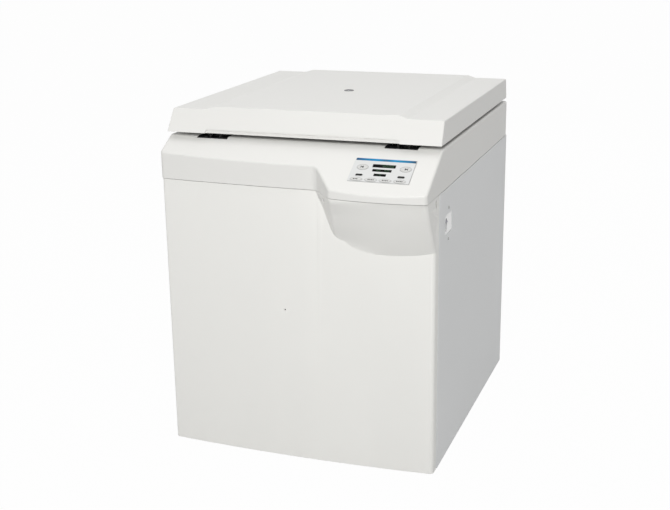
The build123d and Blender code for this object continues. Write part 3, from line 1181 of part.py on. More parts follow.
save("chamber_bowl", chamber_bowl())
save("evaporator_coil", evaporator_coil())
save("chamber_insulation", chamber_insulation())
save("guard_ring", ring(GUARD_INNER + GUARD_WALL, GUARD_INNER, (PLATE_TOP_Z, DECK_Z - GUARD_DROP)))
save("chamber_floor", chamber_floor())
save("chamber_gasket", ring(BOWL_RIM + GASKET_WIDTH, BOWL_RIM, (DECK_Z, LID_Z - PART_GAP)))
save("shaft_seal", shaft_seal())

save("rotor_shaft", rotor_shaft())
save("rotor_yoke", rotor_yoke())
save("trunnion_pins", *trunnion_pins())
save("rotor_nut", rotor_nut())
for turn in range(4):
    save(f"bucket_{turn + 1}", bucket(turn))

save("drive_motor", drive_motor())
save("rubber_mounts", *motor_mounts(), *compressor_mounts())

save("breaker_body", breaker_body())
save("breaker_toggle", breaker_toggle())
save("breaker_bracket", breaker_bracket())

save("compressor", compressor())
save("condenser", condenser())
save("fan_shroud", fan_shroud())
save("fan", fan())
save("refrigerant_lines", *refrigerant_lines())
save("inverter", inverter())
save("cable_gland", cable_gland())
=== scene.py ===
import json
import math

import bpy
from mathutils import Matrix, Vector


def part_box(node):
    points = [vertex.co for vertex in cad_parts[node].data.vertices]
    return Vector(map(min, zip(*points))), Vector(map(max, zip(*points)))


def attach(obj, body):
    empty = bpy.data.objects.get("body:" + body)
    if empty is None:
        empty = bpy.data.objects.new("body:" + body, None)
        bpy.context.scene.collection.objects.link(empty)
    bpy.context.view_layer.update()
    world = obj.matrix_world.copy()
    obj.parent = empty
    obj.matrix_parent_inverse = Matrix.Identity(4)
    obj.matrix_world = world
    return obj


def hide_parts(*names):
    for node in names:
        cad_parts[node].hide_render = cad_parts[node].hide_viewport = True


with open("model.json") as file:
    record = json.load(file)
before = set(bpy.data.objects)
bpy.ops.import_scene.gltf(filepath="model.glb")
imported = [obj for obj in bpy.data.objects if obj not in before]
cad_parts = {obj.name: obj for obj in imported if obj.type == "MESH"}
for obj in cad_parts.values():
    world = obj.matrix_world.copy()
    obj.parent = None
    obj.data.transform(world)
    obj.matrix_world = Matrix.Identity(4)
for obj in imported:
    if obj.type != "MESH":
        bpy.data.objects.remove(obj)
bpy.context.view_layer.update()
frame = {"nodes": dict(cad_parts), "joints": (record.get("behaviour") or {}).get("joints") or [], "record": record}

# Camera, fitted to the straight edges of the cabinet
CAMERA_PLACE = (0.9654, -2.7403, 1.2973)
CAMERA_AZIMUTH = math.radians(19.84)
CAMERA_DROP = math.radians(16.79)
CAMERA_ROLL = math.radians(-0.79)
CAMERA_LENS = 61.89
SENSOR_WIDTH = 36.0

# Control panel, in metres along the slope from the middle of the membrane
SLOPE = math.atan(0.548)
MEMBRANE_WIDTH, MEMBRANE_HEIGHT, MEMBRANE_THICKNESS = 0.143, 0.0804, 0.0015
PRINT = 0.00012
BAND_HEIGHT, BAND_SHORT, BAND_DROP, BAND_ROUND = 0.0074, 0.004, 0.0015, 0.0008
# Width of the painted shadow lines along the membrane's right and bottom edges, and how much shorter than those
# edges they are
SHADOW_LINE, SHADOW_LINE_SHORT = 0.0009, 0.002
KEY_PROUD = 0.0007
# Digits of each display: text, place of their middle, height and pitch
DIGIT_ROWS = {
    "speed_digits": ("4000", 0.00975, 0.0155, 0.0072, 0.0072),
    "time_digits": ("00 30", 0.00025, 0.0003, 0.0052, 0.0062),
    "temperature_digits": ("-4", -0.00475, -0.0145, 0.0052, 0.0062),
}
ROUND_KEYS = {"key_round_left": (-0.04775, 0.0088), "key_round_right": (0.05225, 0.0088)}
ROUND_KEY = (0.024, 0.016)
SMALL_KEYS = {"key_small_left": (-0.04875, -0.018), "key_small_right": (0.04825, -0.018)}
SMALL_KEY = (0.017, 0.007)
ROW_KEYS = {
    "key_row_1": (-0.05175, -0.032),
    "key_row_2": (-0.01775, -0.032),
    "key_row_3": (0.01525, -0.032),
    "key_row_4": (0.04825, -0.032),
}
ROW_KEY = (0.026, 0.010)
ARROW, ARROW_ROUND = 0.0085, 0.08
ARROW_BAR, ARROW_BAR_ROUND, ARROW_BAR_SHIFT = (0.0012, 0.0075), 0.0002, 0.0042
FIELD_SHORT, FIELD_ROUND = 0.0008, 0.0025
STROKE, STROKE_ROUND, STROKE_SHORT, STROKE_STEP = (0.0026, 0.0034), 0.0004, 0.0006, 0.0038
# Width of a digit, and length and width of its bars, as shares of its height; lift off the window
DIGIT_WIDTH, DIGIT_BAR, DIGIT_LINE, DIGIT_LIFT = 0.52, 0.46, 0.12, 0.00002

# Bow of the front panel, in metres, and how near to it a corner of the mesh counts as on it
FRONT_BOW, BOW_FRONT_Y = 0.0134, -0.3543
BOW_NEAR, BOW_TURN = 0.0004, math.radians(8)

# Rib behind the small hole in the scoop's right cheek
RIB_PLACE, RIB_SIZE, RIB_EDGE = (0.3362, -0.3415, 0.6645), (0.0015, 0.024, 0.030), 0.0003

# Fasteners
SCREW_RADIUS, SCREW_HEIGHT = 0.0036, 0.0014
SCREW_ROUND, SCREW_RECESS = 0.6, (1.15, 0.24, 1.1)
BREAKER_SCREW_SPACING, BREAKER_SCREW_Y = 0.075, -0.2299
REAR_SCREW_HEIGHTS, REAR_SCREW_INSET = (0.060, 0.245, 0.450, 0.640), 0.008
HINGE_SCREW_RADIUS, HINGE_SCREW_HEIGHT = 0.0034, 0.0008
HINGE_X, HINGE_LEAF = 0.205, 0.0025
HINGE_SCREW_APART, HINGE_SCREW_FROM_PIN = 0.038, 0.024

# Widths of the soft edges. An edge that turns by more than EDGE_ANGLE is rounded.
SOFT_EDGES = {
    "lid_cover": 0.0006, "top_housing": 0.0005, "front_panel": 0.0006,
    "left_side_panel": 0.0008, "right_side_panel": 0.0008, "rear_panel": 0.0006,
    "control_overlay": 0.00025, "latch_bezels": 0.0006, "breaker_body": 0.0005,
    "chamber_bowl": 0.006, "rotor_yoke": 0.0008, "rotor_nut": 0.0006,
    "bucket_1": 0.0008, "bucket_2": 0.0008, "bucket_3": 0.0008, "bucket_4": 0.0008,
    "compressor": 0.012, "inverter": 0.0006, "base_tray": 0.0008, "cable_gland": 0.0005,
    **dict.fromkeys((*ROUND_KEYS, *SMALL_KEYS, *ROW_KEYS), 0.0003),
}
EDGE_ANGLE = math.radians(30)
FLAT_ANGLE, MERGE_DISTANCE = math.radians(0.05), 0.000002


# Small helpers
def only(piece):
    """Leave one piece selected and active."""
    bpy.ops.object.select_all(action="DESELECT")
    piece.select_set(True)
    bpy.context.view_layer.objects.active = piece


def settle(piece, name, matrix=None):
    """Name a new piece and move its place into its mesh."""
    piece.name = name
    piece.data.name = name
    only(piece)
    bpy.ops.object.transform_apply(location=True, rotation=True, scale=True)
    if matrix is not None:
        piece.data.transform(matrix)
    return piece


def soften(piece, width):
    """Round the sharp edges, smooth the curves and keep flat faces flat."""
    only(piece)
    bevel = piece.modifiers.new("edges", "BEVEL")
    bevel.width = width
    bevel.segments = 2
    bevel.limit_method = "ANGLE"
    bevel.angle_limit = EDGE_ANGLE
    bpy.ops.object.modifier_apply(modifier=bevel.name)
    bpy.ops.object.shade_smooth_by_angle(angle=EDGE_ANGLE)
    weighted = piece.modifiers.new("flat_faces", "WEIGHTED_NORMAL")
    weighted.keep_sharp = True
    bpy.ops.object.modifier_apply(modifier=weighted.name)
    return piece


def copy_of(piece, name, matrix):
    """A copy of a piece with its own mesh, moved to another place."""
    twin = bpy.data.objects.new(name, piece.data.copy())
    twin.data.name = name
    twin.data.transform(matrix)
    bpy.context.scene.collection.objects.link(twin)
    return twin


def joined(pieces, name):
    """Several pieces made one."""
    bpy.ops.object.select_all(action="DESELECT")
    for piece in pieces:
        piece.select_set(True)
    bpy.context.view_layer.objects.active = pieces[0]
    if len(pieces) > 1:
        bpy.ops.object.join()
    pieces[0].name = name
    pieces[0].data.name = name
    return pieces[0]


def dress(piece, material, body):
    piece.data.materials.clear()
    piece.data.materials.append(material)
    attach(piece, body)
    return piece


# Shared effects
def new_group(name, sockets_in, sockets_out):
    """An empty shader group with named inputs and outputs."""
    group = bpy.data.node_groups.new(name, "ShaderNodeTree")
    for socket_name, kind, default in sockets_in:
        socket = group.interface.new_socket(socket_name, in_out="INPUT", socket_type=kind)
        if default is not None:
            socket.default_value = default
    for socket_name, kind in sockets_out:
        group.interface.new_socket(socket_name, in_out="OUTPUT", socket_type=kind)
    return group, group.nodes.new("NodeGroupInput"), group.nodes.new("NodeGroupOutput")


def grain_group():
    """Fine grain of a moulding or of powder coat: a height and a slow mottle."""
    group, given, result = new_group(
        "surface_grain",
        [("Place", "NodeSocketVector", None), ("Grain", "NodeSocketFloat", 900.0),
         ("Mottle", "NodeSocketFloat", 4.0)],
        [("Height", "NodeSocketFloat"), ("Mottle", "NodeSocketFloat")],
    )
    fine = group.nodes.new("ShaderNodeTexNoise")
    fine.inputs["Detail"].default_value = 2.0
    group.links.new(given.outputs["Place"], fine.inputs["Vector"])
    group.links.new(given.outputs["Grain"], fine.inputs["Scale"])
    slow = group.nodes.new("ShaderNodeTexNoise")
    slow.inputs["Detail"].default_value = 3.0
    group.links.new(given.outputs["Place"], slow.inputs["Vector"])
    group.links.new(given.outputs["Mottle"], slow.inputs["Scale"])
    group.links.new(fine.outputs["Fac"], result.inputs["Height"])
    group.links.new(slow.outputs["Fac"], result.inputs["Mottle"])
    return group


def tint_group():
    """A colour that drifts a little lighter and darker with a mask."""
    group, given, result = new_group(
        "slight_tint",
        [("Colour", "NodeSocketColor", None), ("Mask", "NodeSocketFloat", 0.5),
         ("Amount", "NodeSocketFloat", 0.03)],
        [("Colour", "NodeSocketColor")],
    )
    spread = group.nodes.new("ShaderNodeMath")
    spread.operation = "MULTIPLY_ADD"
    centre = group.nodes.new("ShaderNodeMath")
    centre.operation = "SUBTRACT"
    centre.inputs[1].default_value = 0.5
    group.links.new(given.outputs["Mask"], centre.inputs[0])
    group.links.new(centre.outputs[0], spread.inputs[0])
    group.links.new(given.outputs["Amount"], spread.inputs[1])
    spread.inputs[2].default_value = 1.0
    tint = group.nodes.new("ShaderNodeVectorMath")
    tint.operation = "SCALE"
    group.links.new(given.outputs["Colour"], tint.inputs[0])
    group.links.new(spread.outputs[0], tint.inputs["Scale"])
    group.links.new(tint.outputs["Vector"], result.inputs["Colour"])
    return group


def brushing_group():
    """Fine lines left by brushing or turning, drawn along one direction."""
    group, given, result = new_group(
        "brushed_lines",
        [("Place", "NodeSocketVector", None), ("Lines", "NodeSocketFloat", 60.0)],
        [("Streak", "NodeSocketFloat")],
    )
    lines = group.nodes.new("ShaderNodeTexNoise")
    lines.inputs["Detail"].default_value = 4.0
    group.links.new(given.outputs["Place"], lines.inputs["Vector"])
    group.links.new(given.outputs["Lines"], lines.inputs["Scale"])
    group.links.new(lines.outputs["Fac"], result.inputs["Streak"])
    return group


surface_grain = grain_group()
slight_tint = tint_group()
brushed_lines = brushing_group()


# Materials
class Finish:
    """A material with its nodes to hand."""

    def __init__(self, name, roughness, metallic=0.0, gloss=0.5):
        self.material = bpy.data.materials.new(name)
        self.material.use_nodes = True
        self.nodes = self.material.node_tree.nodes
        self.links = self.material.node_tree.links
        self.shader = self.nodes["Principled BSDF"]
        self.shader.inputs["Roughness"].default_value = roughness
        self.shader.inputs["Metallic"].default_value = metallic
        self.shader.inputs["Specular IOR Level"].default_value = gloss
        self.place = self.nodes.new("ShaderNodeTexCoord").outputs["Object"]

    def group(self, tree, **values):
        node = self.nodes.new("ShaderNodeGroup")
        node.node_tree = tree
        for name, value in values.items():
            node.inputs[name].default_value = value
        return node

    def bump(self, height, depth):
        bump = self.nodes.new("ShaderNodeBump")
        bump.inputs["Distance"].default_value = depth
        bump.inputs["Strength"].default_value = 1.0
        self.links.new(height, bump.inputs["Height"])
        self.links.new(bump.outputs["Normal"], self.shader.inputs["Normal"])

    def tint(self, colour, mask, amount):
        tint = self.group(slight_tint, Colour=(*colour, 1.0), Amount=amount)
        self.links.new(mask, tint.inputs["Mask"])
        self.links.new(tint.outputs["Colour"], self.shader.inputs["Base Color"])

    def spread(self, mask, low, high):
        """Roughness that follows a mask."""
        span = self.nodes.new("ShaderNodeMapRange")
        span.inputs["To Min"].default_value = low
        span.inputs["To Max"].default_value = high
        self.links.new(mask, span.inputs["Value"])
        self.links.new(span.outputs["Result"], self.shader.inputs["Roughness"])

    def stretched(self, scale):
        """Object coordinates stretched along chosen axes."""
        mapping = self.nodes.new("ShaderNodeMapping")
        mapping.inputs["Scale"].default_value = scale
        self.links.new(self.place, mapping.inputs["Vector"])
        return mapping.outputs["Vector"]


def grained(name, colour, roughness, depth, grain=900.0, amount=0.03, gloss=0.5):
    """Moulded plastic, powder coat or rubber."""
    finish = Finish(name, roughness, gloss=gloss)
    effect = finish.group(surface_grain, Grain=grain, Mottle=5.0)
    finish.links.new(finish.place, effect.inputs["Place"])
    finish.tint(colour, effect.outputs["Mottle"], amount)
    finish.spread(effect.outputs["Mottle"], roughness * 0.88, roughness * 1.12)
    finish.bump(effect.outputs["Height"], depth)
    return finish.material


def brushed(name, colour, roughness, stretch, lines=60.0, depth=0.00004, amount=0.12):
    """Metal with fine lines along the axis that isn't stretched."""
    finish = Finish(name, roughness, 1.0)
    effect = finish.group(brushed_lines, Lines=lines)
    finish.links.new(finish.stretched(stretch), effect.inputs["Place"])
    finish.tint(colour, effect.outputs["Streak"], amount)
    finish.spread(effect.outputs["Streak"], roughness * 0.8, roughness * 1.25)
    finish.bump(effect.outputs["Streak"], depth)
    return finish.material


def zinc_sheet():
    """Zinc plated sheet with its soft spangle."""
    finish = Finish("zinc_sheet", 0.42, 1.0)
    spangle = finish.nodes.new("ShaderNodeTexVoronoi")
    spangle.inputs["Scale"].default_value = 160.0
    finish.links.new(finish.place, spangle.inputs["Vector"])
    grey = finish.nodes.new("ShaderNodeSeparateColor")
    finish.links.new(spangle.outputs["Color"], grey.inputs["Color"])
    finish.tint((0.56, 0.57, 0.58), grey.outputs["Red"], 0.22)
    finish.spread(grey.outputs["Green"], 0.34, 0.5)
    return finish.material


def circuit_board():
    """Green board with its tracks showing through the resist."""
    finish = Finish("circuit_board", 0.35)
    tracks = finish.nodes.new("ShaderNodeTexBrick")
    tracks.inputs["Scale"].default_value = 220.0
    tracks.inputs["Mortar Size"].default_value = 0.05
    tracks.inputs["Color1"].default_value = (0.012, 0.10, 0.035, 1)
    tracks.inputs["Color2"].default_value = (0.016, 0.13, 0.045, 1)
    tracks.inputs["Mortar"].default_value = (0.05, 0.24, 0.09, 1)
    finish.links.new(finish.place, tracks.inputs["Vector"])
    finish.links.new(tracks.outputs["Color"], finish.shader.inputs["Base Color"])
    return finish.material


def window_glass():
    finish = Finish("port_window_glass", 0.05)
    finish.shader.inputs["Transmission Weight"].default_value = 0.9
    finish.shader.inputs["IOR"].default_value = 1.49
    effect = finish.group(surface_grain, Grain=300.0, Mottle=40.0)
    finish.links.new(finish.place, effect.inputs["Place"])
    finish.tint((0.62, 0.66, 0.67), effect.outputs["Mottle"], 0.05)
    return finish.material


def display_glass():
    """Smoked window over the displays."""
    finish = Finish("smoked_window", 0.35, gloss=0.03)
    effect = finish.group(surface_grain, Grain=500.0, Mottle=60.0)
    finish.links.new(finish.place, effect.inputs["Place"])
    finish.tint((0.002, 0.002, 0.002), effect.outputs["Mottle"], 0.3)
    finish.spread(effect.outputs["Mottle"], 0.3, 0.4)
    return finish.material


def lit_segments():
    """Green light-emitting segments."""
    finish = Finish("lit_segments", 0.3, gloss=0.1)
    effect = finish.group(surface_grain, Grain=2500.0, Mottle=300.0)
    finish.links.new(finish.place, effect.inputs["Place"])
    finish.tint((0.03, 0.08, 0.04), effect.outputs["Mottle"], 0.3)
    finish.shader.inputs["Emission Color"].default_value = (0.16, 0.36, 0.17, 1)
    finish.shader.inputs["Emission Strength"].default_value = 0.25
    return finish.material


def blue_band():
    """Printed band, dark at its ends and brighter in the middle."""
    finish = Finish("blue_band", 0.4, gloss=0.15)
    split = finish.nodes.new("ShaderNodeSeparateXYZ")
    finish.links.new(finish.place, split.inputs["Vector"])
    along = finish.nodes.new("ShaderNodeMapRange")
    along.inputs["From Min"].default_value = panel_top.x - MEMBRANE_WIDTH / 2
    along.inputs["From Max"].default_value = panel_top.x + MEMBRANE_WIDTH / 2
    finish.links.new(split.outputs["X"], along.inputs["Value"])
    ramp = finish.nodes.new("ShaderNodeValToRGB")
    ramp.color_ramp.elements[0].color = (0.010, 0.045, 0.11, 1)
    ramp.color_ramp.elements[1].color = (0.008, 0.035, 0.075, 1)
    for position, colour in ((0.12, (0.004, 0.14, 0.32, 1)), (0.35, (0.004, 0.24, 0.50, 1)),
                             (0.5, (0.004, 0.12, 0.26, 1)), (0.65, (0.004, 0.26, 0.52, 1)),
                             (0.88, (0.01, 0.16, 0.32, 1))):
        ramp.color_ramp.elements.new(position).color = colour
    finish.links.new(along.outputs["Result"], ramp.inputs["Fac"])
    finish.links.new(ramp.outputs["Color"], finish.shader.inputs["Base Color"])
    return finish.material


membrane_low, membrane_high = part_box("control_overlay")
panel_normal = Vector((0, -math.sin(SLOPE), math.cos(SLOPE)))
panel_top = (membrane_low + membrane_high) / 2 + panel_normal * MEMBRANE_THICKNESS / 2
panel = Matrix.Translation(panel_top) @ Matrix.Rotation(SLOPE, 4, "X")

off_white = grained("off_white_moulding", (0.80, 0.795, 0.765), 0.42, 0.00002, amount=0.02)
finishes = {
    "moulded_housing": off_white,
    "cabinet_paint": grained("powder_coat", (0.745, 0.755, 0.755), 0.45, 0.00003, 700.0, 0.02),
    "frame_paint": grained("black_powder_coat", (0.02, 0.02, 0.022), 0.5, 0.00004, 700.0, 0.2),
    "galvanised": zinc_sheet(),
    "stainless": brushed("brushed_stainless", (0.62, 0.62, 0.61), 0.28, (1.0, 1.0, 14.0)),
    "rotor_aluminium": brushed("turned_aluminium", (0.68, 0.69, 0.71), 0.32, (1.0, 1.0, 8.0)),
    "bucket_aluminium": brushed("anodised_bucket", (0.40, 0.42, 0.45), 0.38, (1.0, 1.0, 10.0)),
    "overlay_film": grained("membrane_film", (0.66, 0.665, 0.66), 0.4, 0.000008, 1800.0, 0.03, 0.3),
    "key_film": grained("key_film", (0.60, 0.60, 0.585), 0.38, 0.000008, 1800.0, 0.05, 0.3),
    "display": display_glass(),
    "board": circuit_board(),
    "black_plastic": grained("black_moulding", (0.012, 0.012, 0.013), 0.45, 0.00003, 800.0, 0.25),
    "dark_plastic": grained("dark_grey_moulding", (0.06, 0.06, 0.065), 0.42, 0.00002, 800.0, 0.15),
    "breaker_white": grained("white_thermoset", (0.95, 0.95, 0.94), 0.16, 0.000004, 900.0, 0.02, 1.0),
    "rubber": grained("black_rubber", (0.018, 0.018, 0.018), 0.72, 0.00006, 600.0, 0.3),
    "gasket_rubber": grained("grey_silicone", (0.11, 0.11, 0.115), 0.6, 0.00004, 700.0, 0.2),
    "foam": grained("rigid_foam", (0.72, 0.62, 0.38), 0.85, 0.0004, 260.0, 0.18),
    "port_window": window_glass(),
    "screw_steel": brushed("zinc_steel", (0.34, 0.34, 0.33), 0.42, (1.0, 6.0, 1.0), 220.0),
    "copper": brushed("copper_tube", (0.72, 0.33, 0.20), 0.3, (3.0, 3.0, 1.0), 160.0),
    "motor_grey": grained("motor_enamel", (0.10, 0.11, 0.13), 0.4, 0.00005, 500.0, 0.15),
    "compressor_black": grained("compressor_enamel", (0.012, 0.012, 0.014), 0.25, 0.00003, 300.0, 0.3),
    "fin_aluminium": brushed("mill_aluminium", (0.72, 0.73, 0.74), 0.35, (1.0, 5.0, 1.0), 120.0),
}
for part in frame["record"]["subparts"]:
    node = frame["nodes"][part["node"]]
    node.data.materials.clear()
    node.data.materials.append(finishes[part["material_slot"]])
# The top housing and lid are the same off-white moulding as the front; this darker copy of it is painted shade, so
# they come out darker under the top lamp
shaded_top_white = grained("top_moulding_painted_shade", (0.735, 0.73, 0.705), 0.42, 0.00002, amount=0.02)
for node, finish in (
    ("top_housing", shaded_top_white), ("lid_cover", shaded_top_white),
    # The steel strikers get a near-black colour, which is painted shade for the dark gap under the lid's front
    # edge
    ("lid_strikers", grained("striker_painted_shade", (0.03, 0.029, 0.028), 0.5, 0.00002, 800.0, 0.2, 0.3)),
    ("port_tube", grained("grey_moulding", (0.20, 0.20, 0.205), 0.45, 0.00002, 800.0, 0.1, 0.4)),
    ("lid_liner", brushed("brushed_liner", (0.62, 0.62, 0.61), 0.36, (0.4, 12.0, 1.0), depth=0.000006)),
    ("breaker_toggle", grained("toggle_moulding", (0.30, 0.30, 0.34), 0.4, 0.00002, 800.0, 0.1)),
):
    frame["nodes"][node].data.materials[0] = finish
bodies = {
    node: body for body, nodes in frame["record"]["behaviour"]["bodies"].items() for node in nodes
}


# Housing, panels and other pieces whose folded and moulded edges are softened
def refined(node, width):
    """A merged copy of a node with smooth curves and soft edges, which stands for the node."""
    source = frame["nodes"][node]
    piece = bpy.data.objects.new(f"{node}_finished", source.data.copy())
    bpy.context.scene.collection.objects.link(piece)
    only(piece)
    bpy.ops.object.mode_set(mode="EDIT")
    bpy.ops.mesh.select_all(action="SELECT")
    bpy.ops.mesh.remove_doubles(threshold=MERGE_DISTANCE)
    bpy.ops.mesh.dissolve_limited(angle_limit=FLAT_ANGLE)
    bpy.ops.object.mode_set(mode="OBJECT")
    soften(piece, width)
    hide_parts(node)
    return dress(piece, source.data.materials[0], bodies[node])


def follow_bow(piece, half, bow, front_y):
    """Shade the bowed front as the true arc, whatever its triangles."""
    radius = (half**2 + bow**2) / (2 * bow)
    centre = Vector((0, front_y + radius))
    mesh = piece.data
    normals = [Vector(corner.vector) for corner in mesh.corner_normals]
    for face in mesh.polygons:
        for corner in face.loop_indices:
            away = mesh.vertices[mesh.loops[corner].vertex_index].co.xy - centre
            arc_normal = Vector((away.x, away.y, 0)).normalized()
            if abs(away.length - radius) < BOW_NEAR and face.normal.angle(arc_normal) < BOW_TURN:
                normals[corner] = arc_normal
    mesh.normals_split_custom_set(normals)


# Control panel print
def on_panel(u, v, height=0.0):
    """Place on the membrane, along the slope from its middle."""
    return panel @ Matrix.Translation((u, v, height))


def raise_outline(thickness):
    """Give the flat outline in edit mode a thickness and go back to object mode."""
    bpy.ops.mesh.select_all(action="SELECT")
    bpy.ops.mesh.extrude_region_move(TRANSFORM_OT_translate={"value": (0, 0, thickness)})
    bpy.ops.mesh.select_all(action="SELECT")
    bpy.ops.mesh.normals_make_consistent(inside=False)
    bpy.ops.object.mode_set(mode="OBJECT")


def plate(name, width, height, thickness, radius, matrix):
    """A thin plate with rounded corners, lying on the panel."""
    bpy.ops.object.select_all(action="DESELECT")
    bpy.ops.mesh.primitive_plane_add(size=1)
    piece = bpy.context.object
    piece.scale = (width, height, 1)
    bpy.ops.object.transform_apply(scale=True)
    bpy.ops.object.mode_set(mode="EDIT")
    bpy.ops.mesh.select_all(action="SELECT")
    bpy.ops.mesh.bevel(offset=radius, segments=4, affect="VERTICES")
    raise_outline(thickness)
    return settle(piece, name, matrix)


def ring_print(name, size, line, matrix):
    """A printed oval outline."""
    bpy.ops.object.select_all(action="DESELECT")
    bpy.ops.mesh.primitive_circle_add(vertices=48, radius=0.5, fill_type="NGON")
    piece = bpy.context.object
    piece.scale = (size[0], size[1], 1)
    bpy.ops.object.transform_apply(scale=True)
    bpy.ops.object.mode_set(mode="EDIT")
    bpy.ops.mesh.select_all(action="SELECT")
    bpy.ops.mesh.inset(thickness=line, depth=0)
    bpy.ops.mesh.delete(type="FACE")
    raise_outline(PRINT)
    return settle(piece, name, matrix)


def arrow_print(name, size, turn, matrix):
    """A solid triangle."""
    bpy.ops.object.select_all(action="DESELECT")
    bpy.ops.mesh.primitive_circle_add(vertices=3, radius=size / 2, fill_type="NGON")
    piece = bpy.context.object
    bpy.ops.object.mode_set(mode="EDIT")
    bpy.ops.mesh.select_all(action="SELECT")
    bpy.ops.mesh.bevel(offset=size * ARROW_ROUND, segments=2, affect="VERTICES")
    raise_outline(PRINT)
    return settle(piece, name, matrix @ Matrix.Rotation(turn, 4, "Z"))


print_grey = grained("grey_print", (0.05, 0.05, 0.05), 0.45, 0.000004, 1800.0, 0.1, 0.15)
print_black = grained("black_print", (0.010, 0.010, 0.011), 0.45, 0.000004, 1800.0, 0.2, 0.12)
# This grey is print on the key outlines, and painted shadow on the lines along the membrane's right and bottom
# edges
print_and_shadow_grey = grained("pale_grey_print_and_painted_shadow", (0.30, 0.30, 0.29), 0.45, 0.000004, 1800.0, 0.1, 0.2)

band = plate(
    "panel_band", MEMBRANE_WIDTH - BAND_SHORT, BAND_HEIGHT, PRINT, BAND_ROUND,
    on_panel(0, MEMBRANE_HEIGHT / 2 - BAND_HEIGHT / 2 - BAND_DROP),
)
dress(band, blue_band(), "cabinet")

# Grey lines along only the right and bottom edges of the membrane: painted shadow of the membrane's edge, not
# print
right_shadow_place = on_panel(MEMBRANE_WIDTH / 2 - SHADOW_LINE, 0)
bottom_shadow_place = on_panel(0, SHADOW_LINE - MEMBRANE_HEIGHT / 2)
shadow_lines = [
    plate("painted_shadow_right", SHADOW_LINE, MEMBRANE_HEIGHT - SHADOW_LINE_SHORT, PRINT, SHADOW_LINE / 3, right_shadow_place),
    plate("painted_shadow_bottom", MEMBRANE_WIDTH - SHADOW_LINE_SHORT, SHADOW_LINE, PRINT, SHADOW_LINE / 3, bottom_shadow_place),
]
dress(joined(shadow_lines, "membrane_painted_shadow"), print_and_shadow_grey, "cabinet")

outlines = []
for keys, (width, height), margin, line in (
    (ROUND_KEYS, ROUND_KEY, 0.003, 0.0007), (ROW_KEYS, ROW_KEY, 0.0026, 0.0006),
):
    for name, (u, v) in keys.items():
        size = (width + margin, height + margin)
        outlines.append(ring_print(f"{name}_outline", size, line, on_panel(u, v)))
dress(joined(outlines, "key_outlines"), print_and_shadow_grey, "cabinet")

for name, (u, v) in ROUND_KEYS.items():
    side = 1 if "right" in name else -1
    arrow = arrow_print(f"{name}_arrow", ARROW, -side * math.pi / 2, on_panel(u, v, KEY_PROUD))
    bar_place = on_panel(u + side * ARROW_BAR_SHIFT, v, KEY_PROUD)
    bar = plate(f"{name}_bar", *ARROW_BAR, PRINT, ARROW_BAR_ROUND, bar_place)
    dress(joined([arrow, bar], f"{name}_mark"), print_grey, name)
for name, (u, v) in SMALL_KEYS.items():
    width, height = SMALL_KEY[0] - FIELD_SHORT, SMALL_KEY[1] - FIELD_SHORT
    cover = plate(f"{name}_field", width, height, PRINT, FIELD_ROUND, on_panel(u, v, KEY_PROUD))
    dress(cover, print_black, name)
for number, (name, (u, v)) in enumerate(ROW_KEYS.items()):
    marks = []
    for k in range(4 if number else 3):
        height = STROKE[1] - STROKE_SHORT * (k % 2)
        place = on_panel(u + (k - 1.5) * STROKE_STEP, v, KEY_PROUD)
        marks.append(plate(f"{name}_stroke_{k}", STROKE[0], height, PRINT, STROKE_ROUND, place))
    dress(joined(marks, f"{name}_mark"), print_grey, name)


# Display digits
SEGMENTS = {"0": "abcdef", "3": "abgcd", "4": "fgbc", "-": "g"}


def segment(length, width):
    """One bar of a digit, pointed at both ends."""
    bpy.ops.object.select_all(action="DESELECT")
    bpy.ops.mesh.primitive_circle_add(vertices=6, radius=width / 2, fill_type="NGON")
    piece = bpy.context.object
    bpy.ops.object.mode_set(mode="EDIT")
    for end in (-1, 1):
        bpy.ops.mesh.select_all(action="DESELECT")
        bpy.ops.object.mode_set(mode="OBJECT")
        for vertex in piece.data.vertices:
            vertex.select = vertex.co.y * end > width * 0.1
        bpy.ops.object.mode_set(mode="EDIT")
        bpy.ops.transform.translate(value=(0, end * (length - width) / 2, 0))
    raise_outline(PRINT)
    return settle(piece, "segment")


def digit_row(name, text, u, v, height, pitch):
    """Lit digits in a row, from seven segments each."""
    width = height * DIGIT_WIDTH
    bar = segment(height * DIGIT_BAR, height * DIGIT_LINE)
    upright = Matrix.Identity(4)
    level = Matrix.Rotation(math.pi / 2, 4, "Z")
    half, quarter = width / 2, height / 4
    places = {
        "a": (0, height / 2, level), "g": (0, 0, level), "d": (0, -height / 2, level),
        "b": (half, quarter, upright), "c": (half, -quarter, upright),
        "f": (-half, quarter, upright), "e": (-half, -quarter, upright),
    }
    bars = []
    for index, letter in enumerate(text):
        shift = (index - (len(text) - 1) / 2) * pitch
        for part in SEGMENTS.get(letter, ""):
            x, y, turn = places[part]
            matrix = on_panel(u + shift + x, v + y, DIGIT_LIFT) @ turn
            bars.append(copy_of(bar, f"{name}_{index}{part}", matrix))
    bpy.data.objects.remove(bar)
    return dress(joined(bars, name), lit_green, "cabinet")


lit_green = lit_segments()
for name, (text, u, v, height, pitch) in DIGIT_ROWS.items():
    digit_row(name, text, u, v, height, pitch)


